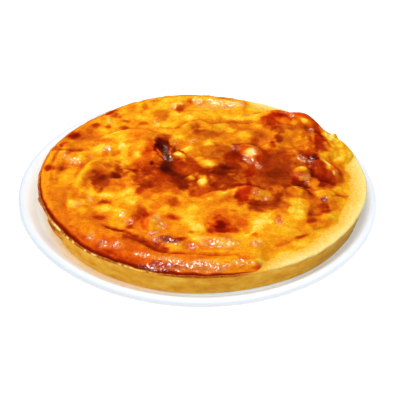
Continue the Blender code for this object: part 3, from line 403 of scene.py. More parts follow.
# Glossy places, placed as the dabs: (x, y, half length, half width, and turn where it is turned)
GLOSS_EDGE, GLOSS_FADE = 1.3, 0.8
GLOSS = (
    (-97, 19, 3, 6, 30), (-91, 15, 4, 6, 20), (-72, 73, 2, 7, 20), (-70, 33, 3, 5, 20), (-80, 21, 1.5, 3),
    (-36, 70, 2, 5), (-23, 96, 2.5, 6, -15), (-16, 101, 3, 3), (-3, 102, 4, 9, 15), (9, 104, 6, 5),
    (8, 96, 6, 4), (20, 98, 6, 6, -20), (29, 101, 4, 5), (35, 84, 2.5, 3), (47, 93, 2, 3), (65, 88, 5, 2),
    (68, 83, 2, 3), (-26, 29, 2, 9, 10), (-19, 42, 2, 3), (-7, 45, 3, 3), (25, 37, 3, 4), (37, 32, 4, 6),
    (34, 22, 4, 7, 15), (41, 14, 3, 5, 15), (82, 63, 2, 3), (80, 21, 2, 6), (73, 24, 3, 6, 30),
    (95, 6, 2, 4), (74, -3, 3, 6), (68, 2, 2.5, 3), (85, -27, 3, 3.5), (39, -20, 3, 5), (45, -27, 3, 3),
    (-84, -39, 3, 4), (-76, -33, 2, 5, 25), (-52, -50, 2, 4), (-48, -58, 3, 4), (-30, -53, 3, 4),
    (-26, -60, 3, 6, 20), (-30, -72, 4, 4), (-24, -77, 7, 4), (-15, -79, 4, 2), (53, -54, 2.5, 5),
    (37, -78, 4, 3.5), (13, -78, 12, 6), (3, -75, 4, 4), (-5, -83, 4, 4), (-71, -75, 3, 5),
    (-63, -82, 4, 5), (-53, -83, 5, 4), (-34, -93, 8, 2.5, -15), (-19, -97, 8, 4), (3, -103, 16, 6),
    (75, -3, 2, 7, -10), (-25, 24, 3, 8, 15), (15, 103, 12, 5), (8, -104, 10, 5), (25, -98, 5, 3),
    (35, -99, 5, 2), (-25, -105, 12, 4), (-12, -106, 4, 3), (-20, -101, 8, 4, -10),
)

# Arcs of the pastry: (from, to, ramp at each end)
CREAM_ARC = (-78.0, 77.0, 12.0)
GOLDEN_ARC = (-120.0, -58.0, 16.0)
FLAKED_ARC = (204.0, 262.0, 10.0)
BURNT_ARC = (172.0, 292.0, 16.0)
SHADE_SIDE_ARC = (-66.0, 66.0, 44.0)  # where the wall is painted a little darker: painted shade on its side away from the key light

# Where its colours begin and over how much they come up, in shares of the wall's height
CREAM_RISE, FLAKED_RISE, BURNT_RISE, BROWNED_RISE = (0.90, 0.09), (0.93, 0.04), (0.93, 0.05), (0.88, 0.1)
SHADE_SIDE_TOP = 0.98
GOLDEN_SHARE = 0.7
FLAKE_FROM, FLAKE_FADE = 0.02, 0.4  # the level of its noise from which the lip is flaked

# Meshes
CUSTARD_RINGS = 150
CUSTARD_OVERLAP = 0.3  # how far the custard runs over the pastry's inner edge
CUSTARD_SKIRT, SKIRT_SHARE = 1.4, 0.994  # how far its edge dips behind the lip, and its share of the radius
CUSTARD_DEPTH = 5.0
FOLLOW_FROM = 0.8  # the share of the radius from which the custard follows the rim's height
BLISTERING_EDGE = 3.0
CRUST_SEGMENTS = 900
LIP_STEPS, LIP_DIP, LIP_CROWN = 14, 0.25, 0.12
LIP_ROUND, LIP_ROUND_HEIGHT, LIP_ROUND_DROP = 0.9, 0.88, 1.0
LIP_ROUND_TURNS = (25.0, 50.0, 75.0)
LIP_OUTSIDE, LIP_OUTSIDE_FADE = 1.0, 0.6  # the part of the lip that counts as its outside
LEAST_OVERHANG = 0.5  # how far the lip's inner edge stands out over the inner wall at the least
WALL_TOP, WALL_FOOT, WALL_STEPS = 0.94, 0.10, 24
FOOT_EDGE = ((0.15, 0.7, 0.04), (0.7, 0.15, 0.01), (1.6, 0.0, 0.0))  # (inset, height, share of the wall's)
PLATE_SEGMENTS = 240
SHARP_ANGLE = 72.0  # edges sharper than this stay sharp

# The plate: (radius, height) from its own middle and the table
PLATE_FLOOR = 9.0  # the upper side of its floor
PLATE_FLOOR_RINGS = (60.0, 102.0, 103.5, 105.0, 106.5, 108.0, 109.5, 111.0)
PLATE_BEND, PLATE_BEND_STEPS = 112.6, 18
PLATE_LIP, PLATE_LIP_SIZE = (124.5, 12.8), (3.3, 3.0)  # the rolled lip's middle and half sizes
PLATE_LIP_START, PLATE_LIP_SWEEP, PLATE_LIP_STEPS = 120.0, 190.0, 20
UNDERSIDE_START, UNDERSIDE_RUN, UNDERSIDE_FALL = (125.4, 10.0), 37.4, 5.8
UNDERSIDE_STEPS, UNDERSIDE_POWER = 9, 0.8
FOOT_RING = (
    (86.6, 4.1), (85.6, 3.7), (85.1, 2.8), (85.0, 1.0), (84.7, 0.3), (84.2, 0.0), (81.2, 0.0), (80.4, 0.3),
    (80.0, 1.0), (79.8, 3.2), (79.0, 3.9), (77.5, 4.2), (40.0, 4.2), (0.0, 4.2),
)
LIP_SHADE_SPAN = (117.0, 125.0)  # where the glaze is painted greyer towards the lip: painted shade
GLOW_ARC = (152.0, 276.0, 34.0)  # where a warm glow of light thrown back from the tart's wall is painted on the plate round the tart's foot: painted reflected light
GLOW_REACH, GLOW_ABOVE = 7.5, 8.5

# The camera, as the photo was taken
LENS_FOCAL, SENSOR = 91.8, 36.0
CAMERA_DISTANCE = 700.0
CAMERA_ELEVATION, CAMERA_ROLL = 35.137, 1.217
CAMERA_AIM = (-0.5, -31.2)
CLIP_START = 0.01

# The studio, in metres and watts
FLOOR_HALF = 4.0
FLOOR_GREY, FLOOR_GLOW = 0.25, 0.92
WORLD_LIGHT, WORLD_REFLECTED = 0.45, 0.05
LIGHT_AIM = Vector((0.0, 0.0, 0.02))
STRIP_COLOUR = (1.0, 0.98, 0.76)
DOME_COLOUR, WASH_COLOUR = (0.86, 0.94, 1.0), (0.80, 0.88, 1.0)

# Colours, from 0 to 255, alone or at levels of a ramp
TART_TONE = 0.79  # darkens the tart's colours for the studio's bright light
OCHRE_COLOURS = (
    (0.00, (254, 226, 112)), (0.08, (254, 210, 62)), (0.16, (252, 191, 32)), (0.30, (245, 158, 20)),
    (0.45, (229, 126, 17)), (0.60, (207, 100, 16)), (0.75, (179, 70, 13)), (0.90, (148, 46, 9)),
    (1.05, (118, 31, 6)), (1.25, (84, 21, 8)), (1.50, (50, 13, 8)),
)
RED_COLOURS = (
    (0.00, (254, 222, 114)), (0.08, (254, 200, 60)), (0.16, (252, 180, 30)), (0.30, (247, 146, 20)),
    (0.45, (240, 112, 16)), (0.60, (225, 81, 11)), (0.75, (191, 46, 6)), (0.90, (160, 27, 4)),
    (1.05, (122, 17, 3)), (1.25, (86, 10, 4)), (1.50, (50, 7, 6)),
)
PALE_CUSTARD = (255, 202, 72)
# a paler yellow painted in the glossy speckles: a painted highlight under their glints
GLINT_PAINT_COLOUR = (255, 200, 50)
WALL_COLOURS = ((0.3, (228, 152, 34)), (0.5, (247, 178, 48)), (0.72, (255, 206, 80)))
RIM_COLOURS = (
    (0.25, (246, 178, 48)), (0.5, (253, 204, 80)), (0.75, (255, 228, 134)), (0.95, (255, 238, 168)),
)
SINGED_COLOURS = ((0.3, (148, 62, 12)), (0.55, (184, 92, 18)), (0.7, (222, 136, 34)))
# painted shade on the wall's side away from the key light
SHADE_SIDE_COLOUR, SHADE_SIDE_SHARE = (196, 146, 60), 0.55
BROWNED_COLOUR = (226, 128, 20)
LEAK_COLOUR, LEAK_CORE_COLOUR = (226, 140, 26), (158, 70, 12)
# The glaze from the well out to the lip: bluish in the well against the warm light thrown back from the
# tart, and greyer at the lip as painted shade
GLAZE_AND_SHADE_COLOURS = (
    (0.0, (231, 246, 253)), (0.2, (233, 246, 253)), (0.8, (235, 242, 248)), (1.2, (229, 229, 231)),
)
# the warm glow painted on the plate beside the tart: painted reflected light
GLOW_COLOUR = (248, 212, 128)


# ---- small tools ----

def smooth(share):
    """A smooth step from 0 to 1."""
    share = np.clip(share, 0.0, 1.0)
    return share * share * (3.0 - 2.0 * share)


def rising(value, start, length):
    """0 up to start, and 1 from this length past it on."""
    return smooth((value - start) / length)


def falling(value, end, length):
    """1 up to this length before the end, and 0 from the end on."""
    return smooth((end - value) / length)


def within(angle, start, end, ramp):
    """1 between two angles in degrees, falling smoothly to 0 over the ramp inside each end."""
    return rising(angle, start, ramp) * falling(angle, end, ramp)


def lobe(share):
    """A bump that is 1 at 0 and falls smoothly to 0 at -1 and 1."""
    return np.clip(1.0 - share * share, 0.0, None) ** 2


def signed(angle):
    """The same angle, from -180 to 180 degrees."""
    return (angle + 180.0) % 360.0 - 180.0


def noise_field(x, y, length, seed):
    """Smooth noise over a surface, from about -1 to 1."""
    return np.array([noise.noise(Vector((a / length, b / length, seed))) for a, b in zip(x, y)])


def noises(x, y, parts):
    """The sum of smooth noises over a surface, each (height, length, seed)."""
    return sum(height * noise_field(x, y, length, seed) for height, length, seed in parts)


def wobbles(angle, parts):
    """The sum of smooth noises round the tart, each (height, bumps in a radian, seed)."""
    turn = np.radians(angle)
    return sum(
        height * noise_field(np.cos(turn) * pitch, np.sin(turn) * pitch, 1.0, seed)
        for height, pitch, seed in parts
    )


def lobes(angle, places):
    """The sum of smooth bumps round the tart, each (middle, half width, height)."""
    return sum(height * lobe(signed(angle - middle) / half) for middle, half, height in places)


# ---- the tart's outline ----

def rim_radius(angle):
    oval = RIM_OVAL * np.cos(2 * np.radians(angle))
    return RIM_RADIUS + oval + lobes(angle, RIM_LOBES) + wobbles(angle, RIM_NOISE)


def foot_radius(angle):
    return FOOT_RADIUS + lobes(angle, FOOT_LOBES) + wobbles(angle, FOOT_NOISE)


def rim_level(angle):
    return RIM_LEVEL + lobes(angle, LEVEL_LOBES) + wobbles(angle, LEVEL_NOISE)


def rim_width(angle):
    ragged = 1.0 + wobbles(angle, SHOULDER_NOISE)
    arcs = sum(extra * within(signed(angle), start, end, ramp) for start, end, ramp, extra in SHOULDERS)
    return LIP_WIDTH + ragged * arcs


# ---- the custard's surface ----

def oval_axes(x, y, middle_x, middle_y, half_length, half_width, turn=0.0):
    """How far along and across an oval a place lies, in shares of its half sizes."""
    turn = math.radians(turn)
    away_x, away_y = x - middle_x, y - middle_y
    along = (away_x * math.cos(turn) + away_y * math.sin(turn)) / half_length
    across = (away_y * math.cos(turn) - away_x * math.sin(turn)) / half_width
    return along, across


def mound(x, y, middle_x, middle_y, half_length, half_width, turn, height, fullness, lean=0.0):
    """One hill over the plane: its height in its middle, and 0 from its edge on."""
    along, across = oval_axes(x, y, middle_x, middle_y, half_length, half_width, turn)
    across = across / np.where(across > 0.0, 1.0 - lean, 1.0 + lean)
    return height * np.clip(1.0 - np.hypot(along, across) ** fullness, 0.0, None) ** 2


def fold(x, y, half_width, points):
    """0 to 1 along a line of points: 1 on the line, fading across it and towards its ends."""
    nearest = np.full_like(x, np.inf)
    run = np.zeros_like(x)
    done = 0.0
    for start, end in zip(points, points[1:]):
        length = math.dist(start, end)
        dx, dy = (end[0] - start[0]) / length, (end[1] - start[1]) / length
        along = np.clip((x - start[0]) * dx + (y - start[1]) * dy, 0.0, length)
        away = np.hypot(x - start[0] - along * dx, y - start[1] - along * dy)
        run = np.where(away < nearest, done + along, run)
        nearest = np.minimum(nearest, away)
        done += length
    fade = FOLD_FADE * done
    ends = rising(run, 0.0, fade) * falling(run, done, fade)
    return lobe(nearest / half_width) * (FOLD_END + (1.0 - FOLD_END) * ends)


def tear(x, y):
    """0 to 1 over the place where the skin tore."""
    reach = np.hypot((x - TEAR_CENTRE[0]) / TEAR_REACH[0], (y - TEAR_CENTRE[1]) / TEAR_REACH[1])
    return falling(reach, 1.0, TEAR_FADE)


def custard_height(x, y, edge):
    """Height over the rim. edge is the distance in from the pastry."""
    angle = np.degrees(np.arctan2(y, x))
    blend = EDGE_BLEND + sum(
        (other - EDGE_BLEND) * within(angle, start, end, ramp) for start, end, ramp, other in OTHER_BLENDS
    )
    inside = rising(edge, 0.0, blend)
    height = LEVEL + noises(x, y, SWELLS)
    for hill in HILLS:
        height += mound(x, y, *hill)
    for hollow in HOLLOWS:
        height -= mound(x, y, *hollow)
    for rise, half_width, points in FOLDS:
        height += rise * fold(x, y, half_width, points)
    crags = tear(x, y) * rising(edge, 0.0, TEAR_EDGE) * (CRAG_LIFT + noises(x, y, CRAGS))
    return height * inside - EDGE_DROP * (1.0 - inside) + crags


def cavity(x, y, edge, reach):
    """How deep a place lies among its neighbours at this reach: above 0 in creases."""
    around = sum(
        custard_height(x + reach * math.cos(turn), y + reach * math.sin(turn), edge) for turn in DEPTH_TURNS
    )
    return around / len(DEPTH_TURNS) - custard_height(x, y, edge)


def shaded(x, y, edge):
    """How much less light than a level place a slope gets from the left, from -1 to 1."""
    fall = custard_height(x - SLOPE_STEP, y, edge) - custard_height(x + SLOPE_STEP, y, edge)
    return np.clip(fall / (2.0 * SLOPE_STEP), -1.0, 1.0)


def as_seen(x, y, height):
    """Where the patches drawn on the plane of the rim fall on a place at this height over it."""
    return x, y + height / math.tan(math.radians(SIGHT_ANGLE))


def warped(x, y, amount, length, seed):
    """The same places, shifted by smooth noise."""
    return (
        x + amount * noise_field(x, y, length, seed),
        y + amount * noise_field(x, y, length, seed + WARP_SEED_STEP),
    )


def patches(x, y):
    """(browning, redness, cover from 0 to 1) of each dab and then of each streak."""
    dab_edge = DAB_EDGE + noises(x, y, DAB_NOISE)
    for middle_x, middle_y, half_length, half_width, level, redness, *turn in DABS:
        reach = np.hypot(*oval_axes(x, y, middle_x, middle_y, half_length, half_width, *turn))
        yield level, redness, falling(reach, dab_edge, DAB_FADE)
    for level, redness, half_width, points in STREAKS:
        yield level, redness, fold(x, y, half_width, points)


def browning_and_shade(x, y):
    """How far the skin has browned, with the shade painted among it, and how red it is there, over the plane
    of the rim.
    """
    for warp in DAB_WARPS:
        x, y = warped(x, y, *warp)
    brown, red = np.full_like(x, GROUND_BROWN), np.full_like(x, GROUND_RED)
    for level, redness, cover in patches(x, y):
        brown += (level / 100.0 - brown) * cover
        red += (redness / 10.0 - red) * cover
    near = falling(y, NEAR_FROM, NEAR_FADE)
    brown += NEAR_BROWN * near * falling(x, NEAR_LEFT_FROM, NEAR_LEFT_FADE) + noises(x, y, BROWN_NOISE)
    return brown, red + NEAR_RED * near


def glossiness(x, y):
    x, y = warped(x, y, *GLOSS_WARP)
    gloss = np.zeros_like(x)
    for place in GLOSS:
        gloss = np.maximum(gloss, falling(np.hypot(*oval_axes(x, y, *place)), GLOSS_EDGE, GLOSS_FADE))
    return gloss


def burnt_edge(angle, edge):
    """0 to 1 over the narrow burnt band just inside the lip, round the left and the near side."""
    angles, widths = zip(*BURNT_WIDTH)
    width = np.interp(angle % 360.0, angles, widths) * (1.0 + wobbles(angle, BURNT_NOISE))
    return falling(edge, width, BURNT_FADE * width + BURNT_LEAST_FADE)


# ---- meshes ----

def new_piece(name, vertices, faces, values, finish, node):
    """A smooth-shaded mesh piece with a value per vertex for each name in values."""
    mesh = bpy.data.meshes.new(name)
    mesh.from_pydata(vertices, [], faces)
    for title, numbers in values.items():
        layer = mesh.attributes.new(title, "FLOAT", "POINT")
        layer.data.foreach_set("value", np.asarray(numbers, dtype=np.float32))
    mesh.validate()
    mesh.shade_smooth()
    mesh.set_sharp_from_angle(angle=math.radians(SHARP_ANGLE))
    mesh.materials.append(finish)
    piece = bpy.data.objects.new(name, mesh)
    bpy.context.scene.collection.objects.link(piece)
    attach(piece, "root")
    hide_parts(node)
    return piece


def tube_faces(rings, segments, first_pole, last_pole, offset):
    """Faces from one pole, over the rings, to the other pole. The rings' vertices start at offset."""
    faces = []
    last_ring = offset + (rings - 1) * segments
    for step in range(segments):
        after = (step + 1) % segments
        if first_pole is not None:
            faces.append((first_pole, offset + step, offset + after))
        for ring in range(rings - 1):
            near = offset + ring * segments
            far = near + segments
            faces.append((near + step, far + step, far + after, near + after))
        faces.append((last_pole, last_ring + after, last_ring + step))
    return faces


def disc_grid(rings):
    """An even grid of triangles on a unit disc, in six equal sectors: (radius, angle) of its points, and
    its triangles."""
    points = [(0.0, 0.0)]
    starts = [0]
    for ring in range(1, rings + 1):
        starts.append(len(points))
        points += [(ring / rings, 60.0 * step / ring) for step in range(6 * ring)]
    triangles = []
    for ring in range(1, rings + 1):
        outer, inner = starts[ring], starts[ring - 1]
        around, within_it = 6 * ring, max(1, 6 * (ring - 1))
        for side in range(6):
            for step in range(ring):
                near = outer + side * ring + step
                after = outer + (side * ring + step + 1) % around
                below = inner + (side * (ring - 1) + step) % within_it
                triangles.append((near, after, below))
                if step < ring - 1:
                    beside = inner + (side * (ring - 1) + step + 1) % within_it
                    triangles.append((after, beside, below))
    return points, triangles


def on_tart(x, y, z):
    """Vertices in metres in the row's frame, from millimetres about the middle of the tart."""
    return list(zip(((x + TART_X) * MM).tolist(), ((y + TART_Y) * MM).tolist(), (z * MM).tolist()))


def make_custard(finish):
    points, faces = disc_grid(CUSTARD_RINGS)
    shares, angles = np.array(points).T
    turns = np.radians(angles)
    widths = rim_width(angles)
    radii = rim_radius(angles) - widths + CUSTARD_OVERLAP
    edge = radii * (1.0 - shares)
    x, y = radii * shares * np.cos(turns), radii * shares * np.sin(turns)
    follow = rising(shares, FOLLOW_FROM, 1.0 - FOLLOW_FROM)
    rim = rim_level(angles) - SHOULDER_FALL * (widths - LIP_WIDTH)
    z = RIM_LEVEL * (1.0 - follow) + rim * follow + custard_height(x, y, edge)
    seen = as_seen(x, y, z - RIM_LEVEL)
    gloss = glossiness(*seen)
    z += noises(x, y, BLISTERING) * gloss * rising(edge, 0.0, BLISTERING_EDGE)
    brown, red = browning_and_shade(*seen)
    # Painted shade: browner in creases and valleys and on slopes that face away from the key light; painted
    # light: lighter on rises and on slopes that face it
    depth = CREASE_PAINTED_SHADE * cavity(x, y, edge, CREASE_REACH)
    depth += VALLEY_PAINTED_SHADE * cavity(x, y, edge, VALLEY_REACH)
    evenness = rising(edge, 0.0, DEPTH_SHADE_EDGE) * (1.0 - TORN_EVENNESS * tear(x, y))
    brown += np.clip(depth, *DEPTH_SHADE_LIMITS) * evenness + SLOPE_PAINTED_SHADE * shaded(x, y, edge)
    band = burnt_edge(angles, edge)
    brown += (BURNT_LEVEL - brown) * band
    red += (BURNT_RED - red) * band
    pale = falling(edge, PALE_EDGE + noises(x, y, PALE_NOISE), PALE_FADE)
    pale *= rising(widths, PALE_WIDTH, PALE_WIDTH_FADE)
    segments = 6 * CUSTARD_RINGS

    def closed(numbers, share=1.0, drop=0.0, middle=0.0):
        """Numbers of the top, of the skirt under its edge, and of the middle underneath."""
        return np.concatenate([numbers, numbers[-segments:] * share - drop, [middle]])

    z = closed(z, drop=CUSTARD_SKIRT, middle=RIM_LEVEL - CUSTARD_DEPTH)
    vertices = on_tart(closed(x, SKIRT_SHARE), closed(y, SKIRT_SHARE), z)
    values = {"brown": closed(brown), "red": closed(red), "pale": closed(pale), "gloss": closed(gloss)}
    faces += tube_faces(2, segments, None, len(vertices) - 1, len(points) - segments)
    return new_piece("custard_top", vertices, faces, values, finish, "custard_filling")


def crust_rings(angles):
    """Radius, height and share of the wall's height, ring by ring, from the inner wall to the underside."""
    outer, foot, top = rim_radius(angles), foot_radius(angles), rim_level(angles)
    width = rim_width(angles)
    inner = outer - width
    rings = [(np.minimum(foot - WALL_THICKNESS, inner - LEAST_OVERHANG), TART_BASE + PASTRY_FLOOR, 0.0)]
    for share in np.linspace(0.0, 1.0, LIP_STEPS):
        fall = (SHOULDER_FALL * (width - LIP_WIDTH) + LIP_DIP) * (1.0 - share) + LIP_CROWN * share**4
        rings.append((inner + (width - LIP_ROUND) * share, top - fall, 1.0))
    for turn in np.radians(LIP_ROUND_TURNS):
        radius = outer - LIP_ROUND * (1.0 - math.sin(turn))
        rings.append((radius, top - LIP_ROUND_DROP + LIP_ROUND_HEIGHT * math.cos(turn), 1.0))
    for share in np.linspace(WALL_TOP, WALL_FOOT, WALL_STEPS):
        radius = foot + (outer - foot) * share
        for middle, half, level, depth in LEAKS:
            across, up = signed(angles - middle) / half, (share - level) / LEAK_HEIGHT
            radius = radius + depth * np.clip(1.0 - across**2 - up * up, 0.0, None) ** 0.5
        rings.append((radius, TART_BASE + (top - TART_BASE) * share, share))
    for inset, height, share in FOOT_EDGE:
        rings.append((foot - inset, TART_BASE + height, share))
    return [np.array([np.broadcast_to(column, angles.shape) for column in part]) for part in zip(*rings)]


def crust_relief(x, y, z):
    """Height of the crust's lumps and layers, in three dimensions so that the wall's layers lie level."""
    lumps = [
        sum(
            height * noise.noise(Vector((a / length, b / length, c / rise + seed)))
            for height, length, rise, seed in CRUST_LUMPS
        )
        for a, b, c in zip(x.ravel(), y.ravel(), z.ravel())
    ]
    return np.array(lumps).reshape(x.shape)


def crust_marks(angles, radius, share, y, z):
    """What is painted on the crust, from 0 to 1 for each name."""
    outer, width = rim_radius(angles), rim_width(angles)
    leak, core = np.zeros_like(y), np.zeros_like(y)
    ragged = noises(y.ravel(), z.ravel(), LEAK_NOISE).reshape(y.shape)
    for middle, half, level, _ in LEAKS:
        across = signed(angles - middle) / half
        up, core_up = (share - level) / LEAK_HEIGHT, (share - level - LEAK_CORE) / LEAK_CORE_HEIGHT
        leak = np.maximum(leak, falling(np.hypot(across, up), LEAK_EDGE + ragged, LEAK_FADE))
        core = np.maximum(core, falling(np.hypot(across, core_up), CORE_EDGE + ragged, CORE_FADE))
    cream = within(signed(angles), *CREAM_ARC) * rising(share, *CREAM_RISE)
    turned_out = rising(radius, outer - LIP_OUTSIDE, LIP_OUTSIDE_FADE)
    flakes = within(angles, *FLAKED_ARC) * rising(wobbles(angles, FLAKE_NOISE), FLAKE_FROM, FLAKE_FADE)
    flakes = flakes * rising(share, *FLAKED_RISE) * turned_out
    burnt = within(angles, *BURNT_ARC) * rising(share + wobbles(angles, BURNT_TOP_NOISE), *BURNT_RISE)
    golden = GOLDEN_SHARE * within(signed(angles), *GOLDEN_ARC)
    return {
        "leak": leak,
        "leak_core": core,
        "rim": np.maximum(cream, flakes),
        "burnt": burnt * (1.0 - flakes),
        "outward": np.clip((radius - outer + width) / width, 0.0, 1.0) - golden,
        # painted shade on the wall's side away from the key light
        "shade_side": within(signed(angles), *SHADE_SIDE_ARC) * (share < SHADE_SIDE_TOP),
        "browned": rising(share, *BROWNED_RISE) * (1.0 - cream),
    }


def make_crust(finish):
    angles = np.arange(CRUST_SEGMENTS) * 360.0 / CRUST_SEGMENTS
    turns = np.radians(angles)
    radius, z, share = crust_rings(angles)
    x, y = radius * np.cos(turns), radius * np.sin(turns)
    lumps = crust_relief(x, y, z)
    z = z + np.where(share >= 1.0, lumps, 0.0)
    swell = np.where((share >= 1.0) | (share <= FOOT_EDGE[0][2]), 0.0, lumps)
    x, y = x + swell * np.cos(turns), y + swell * np.sin(turns)

    def closed(numbers, first=0.0, last=0.0):
        """Numbers of the middle inside, of the rings, and of the middle underneath."""
        return np.concatenate([[first], numbers.ravel(), [last]])

    vertices = on_tart(closed(x), closed(y), closed(z, TART_BASE + PASTRY_FLOOR, TART_BASE))
    values = {title: closed(marks) for title, marks in crust_marks(angles, radius, share, y, z).items()}
    faces = tube_faces(len(radius), CRUST_SEGMENTS, 0, len(vertices) - 1, 1)
    return new_piece("crust", vertices, faces, values, finish, "pastry_shell")


# ---- plate ----

def plate_profile():
    """(radius, height) from the middle of the top, over the rim, to the middle underneath."""
    points = [(radius, PLATE_FLOOR) for radius in (0.0, *PLATE_FLOOR_RINGS)]
    (lip_x, lip_z), (half_width, half_height) = PLATE_LIP, PLATE_LIP_SIZE
    first = math.radians(PLATE_LIP_START)
    run = lip_x + half_width * math.cos(first) - PLATE_BEND
    rise = lip_z + half_height * math.sin(first) - PLATE_FLOOR
    slope = -half_height * math.cos(first) / (half_width * math.sin(first))
    for step in range(1, PLATE_BEND_STEPS):
        share = step / PLATE_BEND_STEPS
        level = rise * (3.0 - 2.0 * share) * share**2 + slope * run * (share - 1.0) * share**2
        points.append((PLATE_BEND + run * share, PLATE_FLOOR + level))
    for step in range(PLATE_LIP_STEPS + 1):
        turn = first - math.radians(PLATE_LIP_SWEEP) * step / PLATE_LIP_STEPS
        points.append((lip_x + half_width * math.cos(turn), lip_z + half_height * math.sin(turn)))
    start_x, start_z = UNDERSIDE_START
    for step in range(1, UNDERSIDE_STEPS):
        share = step / UNDERSIDE_STEPS
        fall = UNDERSIDE_FALL * math.sin(share * math.pi / 2) ** UNDERSIDE_POWER
        points.append((start_x - UNDERSIDE_RUN * share, start_z - fall))
    return [*points, *FOOT_RING]


def make_plate(finish):
    (_, top), *rings, (_, underside) = plate_profile()
    vertices = [(0.0, 0.0, top * MM)]
    for radius, height in rings:
        for step in range(PLATE_SEGMENTS):
            turn = 2.0 * math.pi * step / PLATE_SEGMENTS
            vertices.append((radius * math.cos(turn) * MM, radius * math.sin(turn) * MM, height * MM))
    vertices.append((0.0, 0.0, underside * MM))
    faces = tube_faces(len(rings), PLATE_SEGMENTS, 0, len(vertices) - 1, 1)
    x, y, z = np.array(vertices).T / MM
    x, y = x - TART_X, y - TART_Y
    angles = np.degrees(np.arctan2(y, x)) % 360.0
    away = np.clip(np.hypot(x, y) - foot_radius(angles), 0.0, None)
    # Painted reflected light: a warm glow on the plate next to the tart's foot
    painted_glow = lobe(away / GLOW_REACH) * (z > GLOW_ABOVE) * within(angles, *GLOW_ARC)
    return new_piece("dinner_plate", vertices, faces, {"painted_glow": painted_glow}, finish, "plate")


# ---- materials ----

class Nodes:
    """Short calls for building one material's node tree."""

    def __init__(self, name, tone=1.0):
        self.tone = tone
        self.material = bpy.data.materials.new(name)
        self.material.use_nodes = True
        self.tree = self.material.node_tree
        self.shader = self.tree.nodes["Principled BSDF"]

    def add(self, kind, **settings):
        node = self.tree.nodes.new("ShaderNode" + kind)
        for key, value in settings.items():
            setattr(node, key, value)
        return node

    def link(self, source, target):
        self.tree.links.new(source, target)

    def fill(self, socket, item):
        """Sets a socket to a number or a given colour, or links it to another node's output."""
        if isinstance(item, (int, float)):
            socket.default_value = item
        elif isinstance(item, tuple):
            socket.default_value = self.colour(item)
        else:
            self.link(item, socket)

    def colour(self, picked):
        """A colour given from 0 to 255, as linear light darkened by the material's tone."""
        shares = [value / 255.0 for value in picked]
        lights = [s / 12.92 if s <= 0.04045 else ((s + 0.055) / 1.055) ** 2.4 for s in shares]
        return (*(self.tone * light for light in lights), 1.0)

    def place(self):
        """Places in metres."""
        return self.add("TexCoord").outputs["Object"]

    def value(self, name):
        return self.add("Attribute", attribute_name=name).outputs["Fac"]

    def grain(self, length, detail=3.0, roughness=0.55, stretch=None):
        """Noise from 0 to 1 whose features are about this long in millimetres."""
        node = self.add("TexNoise")
        node.inputs["Scale"].default_value = 1.0 / (length * MM)
        node.inputs["Detail"].default_value = detail
        node.inputs["Roughness"].default_value = roughness
        place = self.place()
        if stretch:
            squeeze = self.add("Mapping")
            squeeze.inputs["Scale"].default_value = stretch
            self.link(place, squeeze.inputs["Vector"])
            place = squeeze.outputs["Vector"]
        self.link(place, node.inputs["Vector"])
        return node.outputs["Fac"]

    def math(self, operation, *items):
        node = self.add("Math", operation=operation)
        for socket, item in zip(node.inputs, items):
            self.fill(socket, item)
        return node.outputs["Value"]

    def spread(self, source, low, high, to_low=0.0, to_high=1.0):
        """Maps low..high to to_low..to_high, clamped."""
        node = self.add("MapRange", clamp=True)
        self.link(source, node.inputs["Value"])
        for title, number in zip(("From Min", "From Max", "To Min", "To Max"), (low, high, to_low, to_high)):
            node.inputs[title].default_value = number
        return node.outputs["Result"]

    def ramp(self, source, stops):
        """A colour for each level, through the given (level, colour) stops."""
        node = self.add("ValToRGB")
        last = stops[-1][0]
        elements = node.color_ramp.elements
        while len(elements) < len(stops):
            elements.new(0.5)
        for element, (level, colour) in zip(elements, stops):
            element.position = level / last
            element.color = self.colour(colour)
        self.link(self.math("DIVIDE", source, last), node.inputs["Fac"])
        return node.outputs["Color"]

    def mix(self, share, first, second):
        """A mix of two colours. Sockets 6 and 7 and output 2 are the node's colours."""
        node = self.add("Mix", data_type="RGBA")
        for socket, item in ((0, share), (6, first), (7, second)):
            self.fill(node.inputs[socket], item)
        return node.outputs[2]

    def bump(self, height, distance, strength=1.0, under=None):
        """A normal from a height, with the distance in millimetres, laid over the normal under it."""
        node = self.add("Bump")
        node.inputs["Strength"].default_value = strength
        node.inputs["Distance"].default_value = distance * MM
        self.link(height, node.inputs["Height"])
        if under is not None:
            self.link(under, node.inputs["Normal"])
        return node.outputs["Normal"]

    def set(self, title, item):
        socket = self.shader.inputs[title]
        if isinstance(item, (int, float, tuple)):
            socket.default_value = item
        else:
            self.link(item, socket)


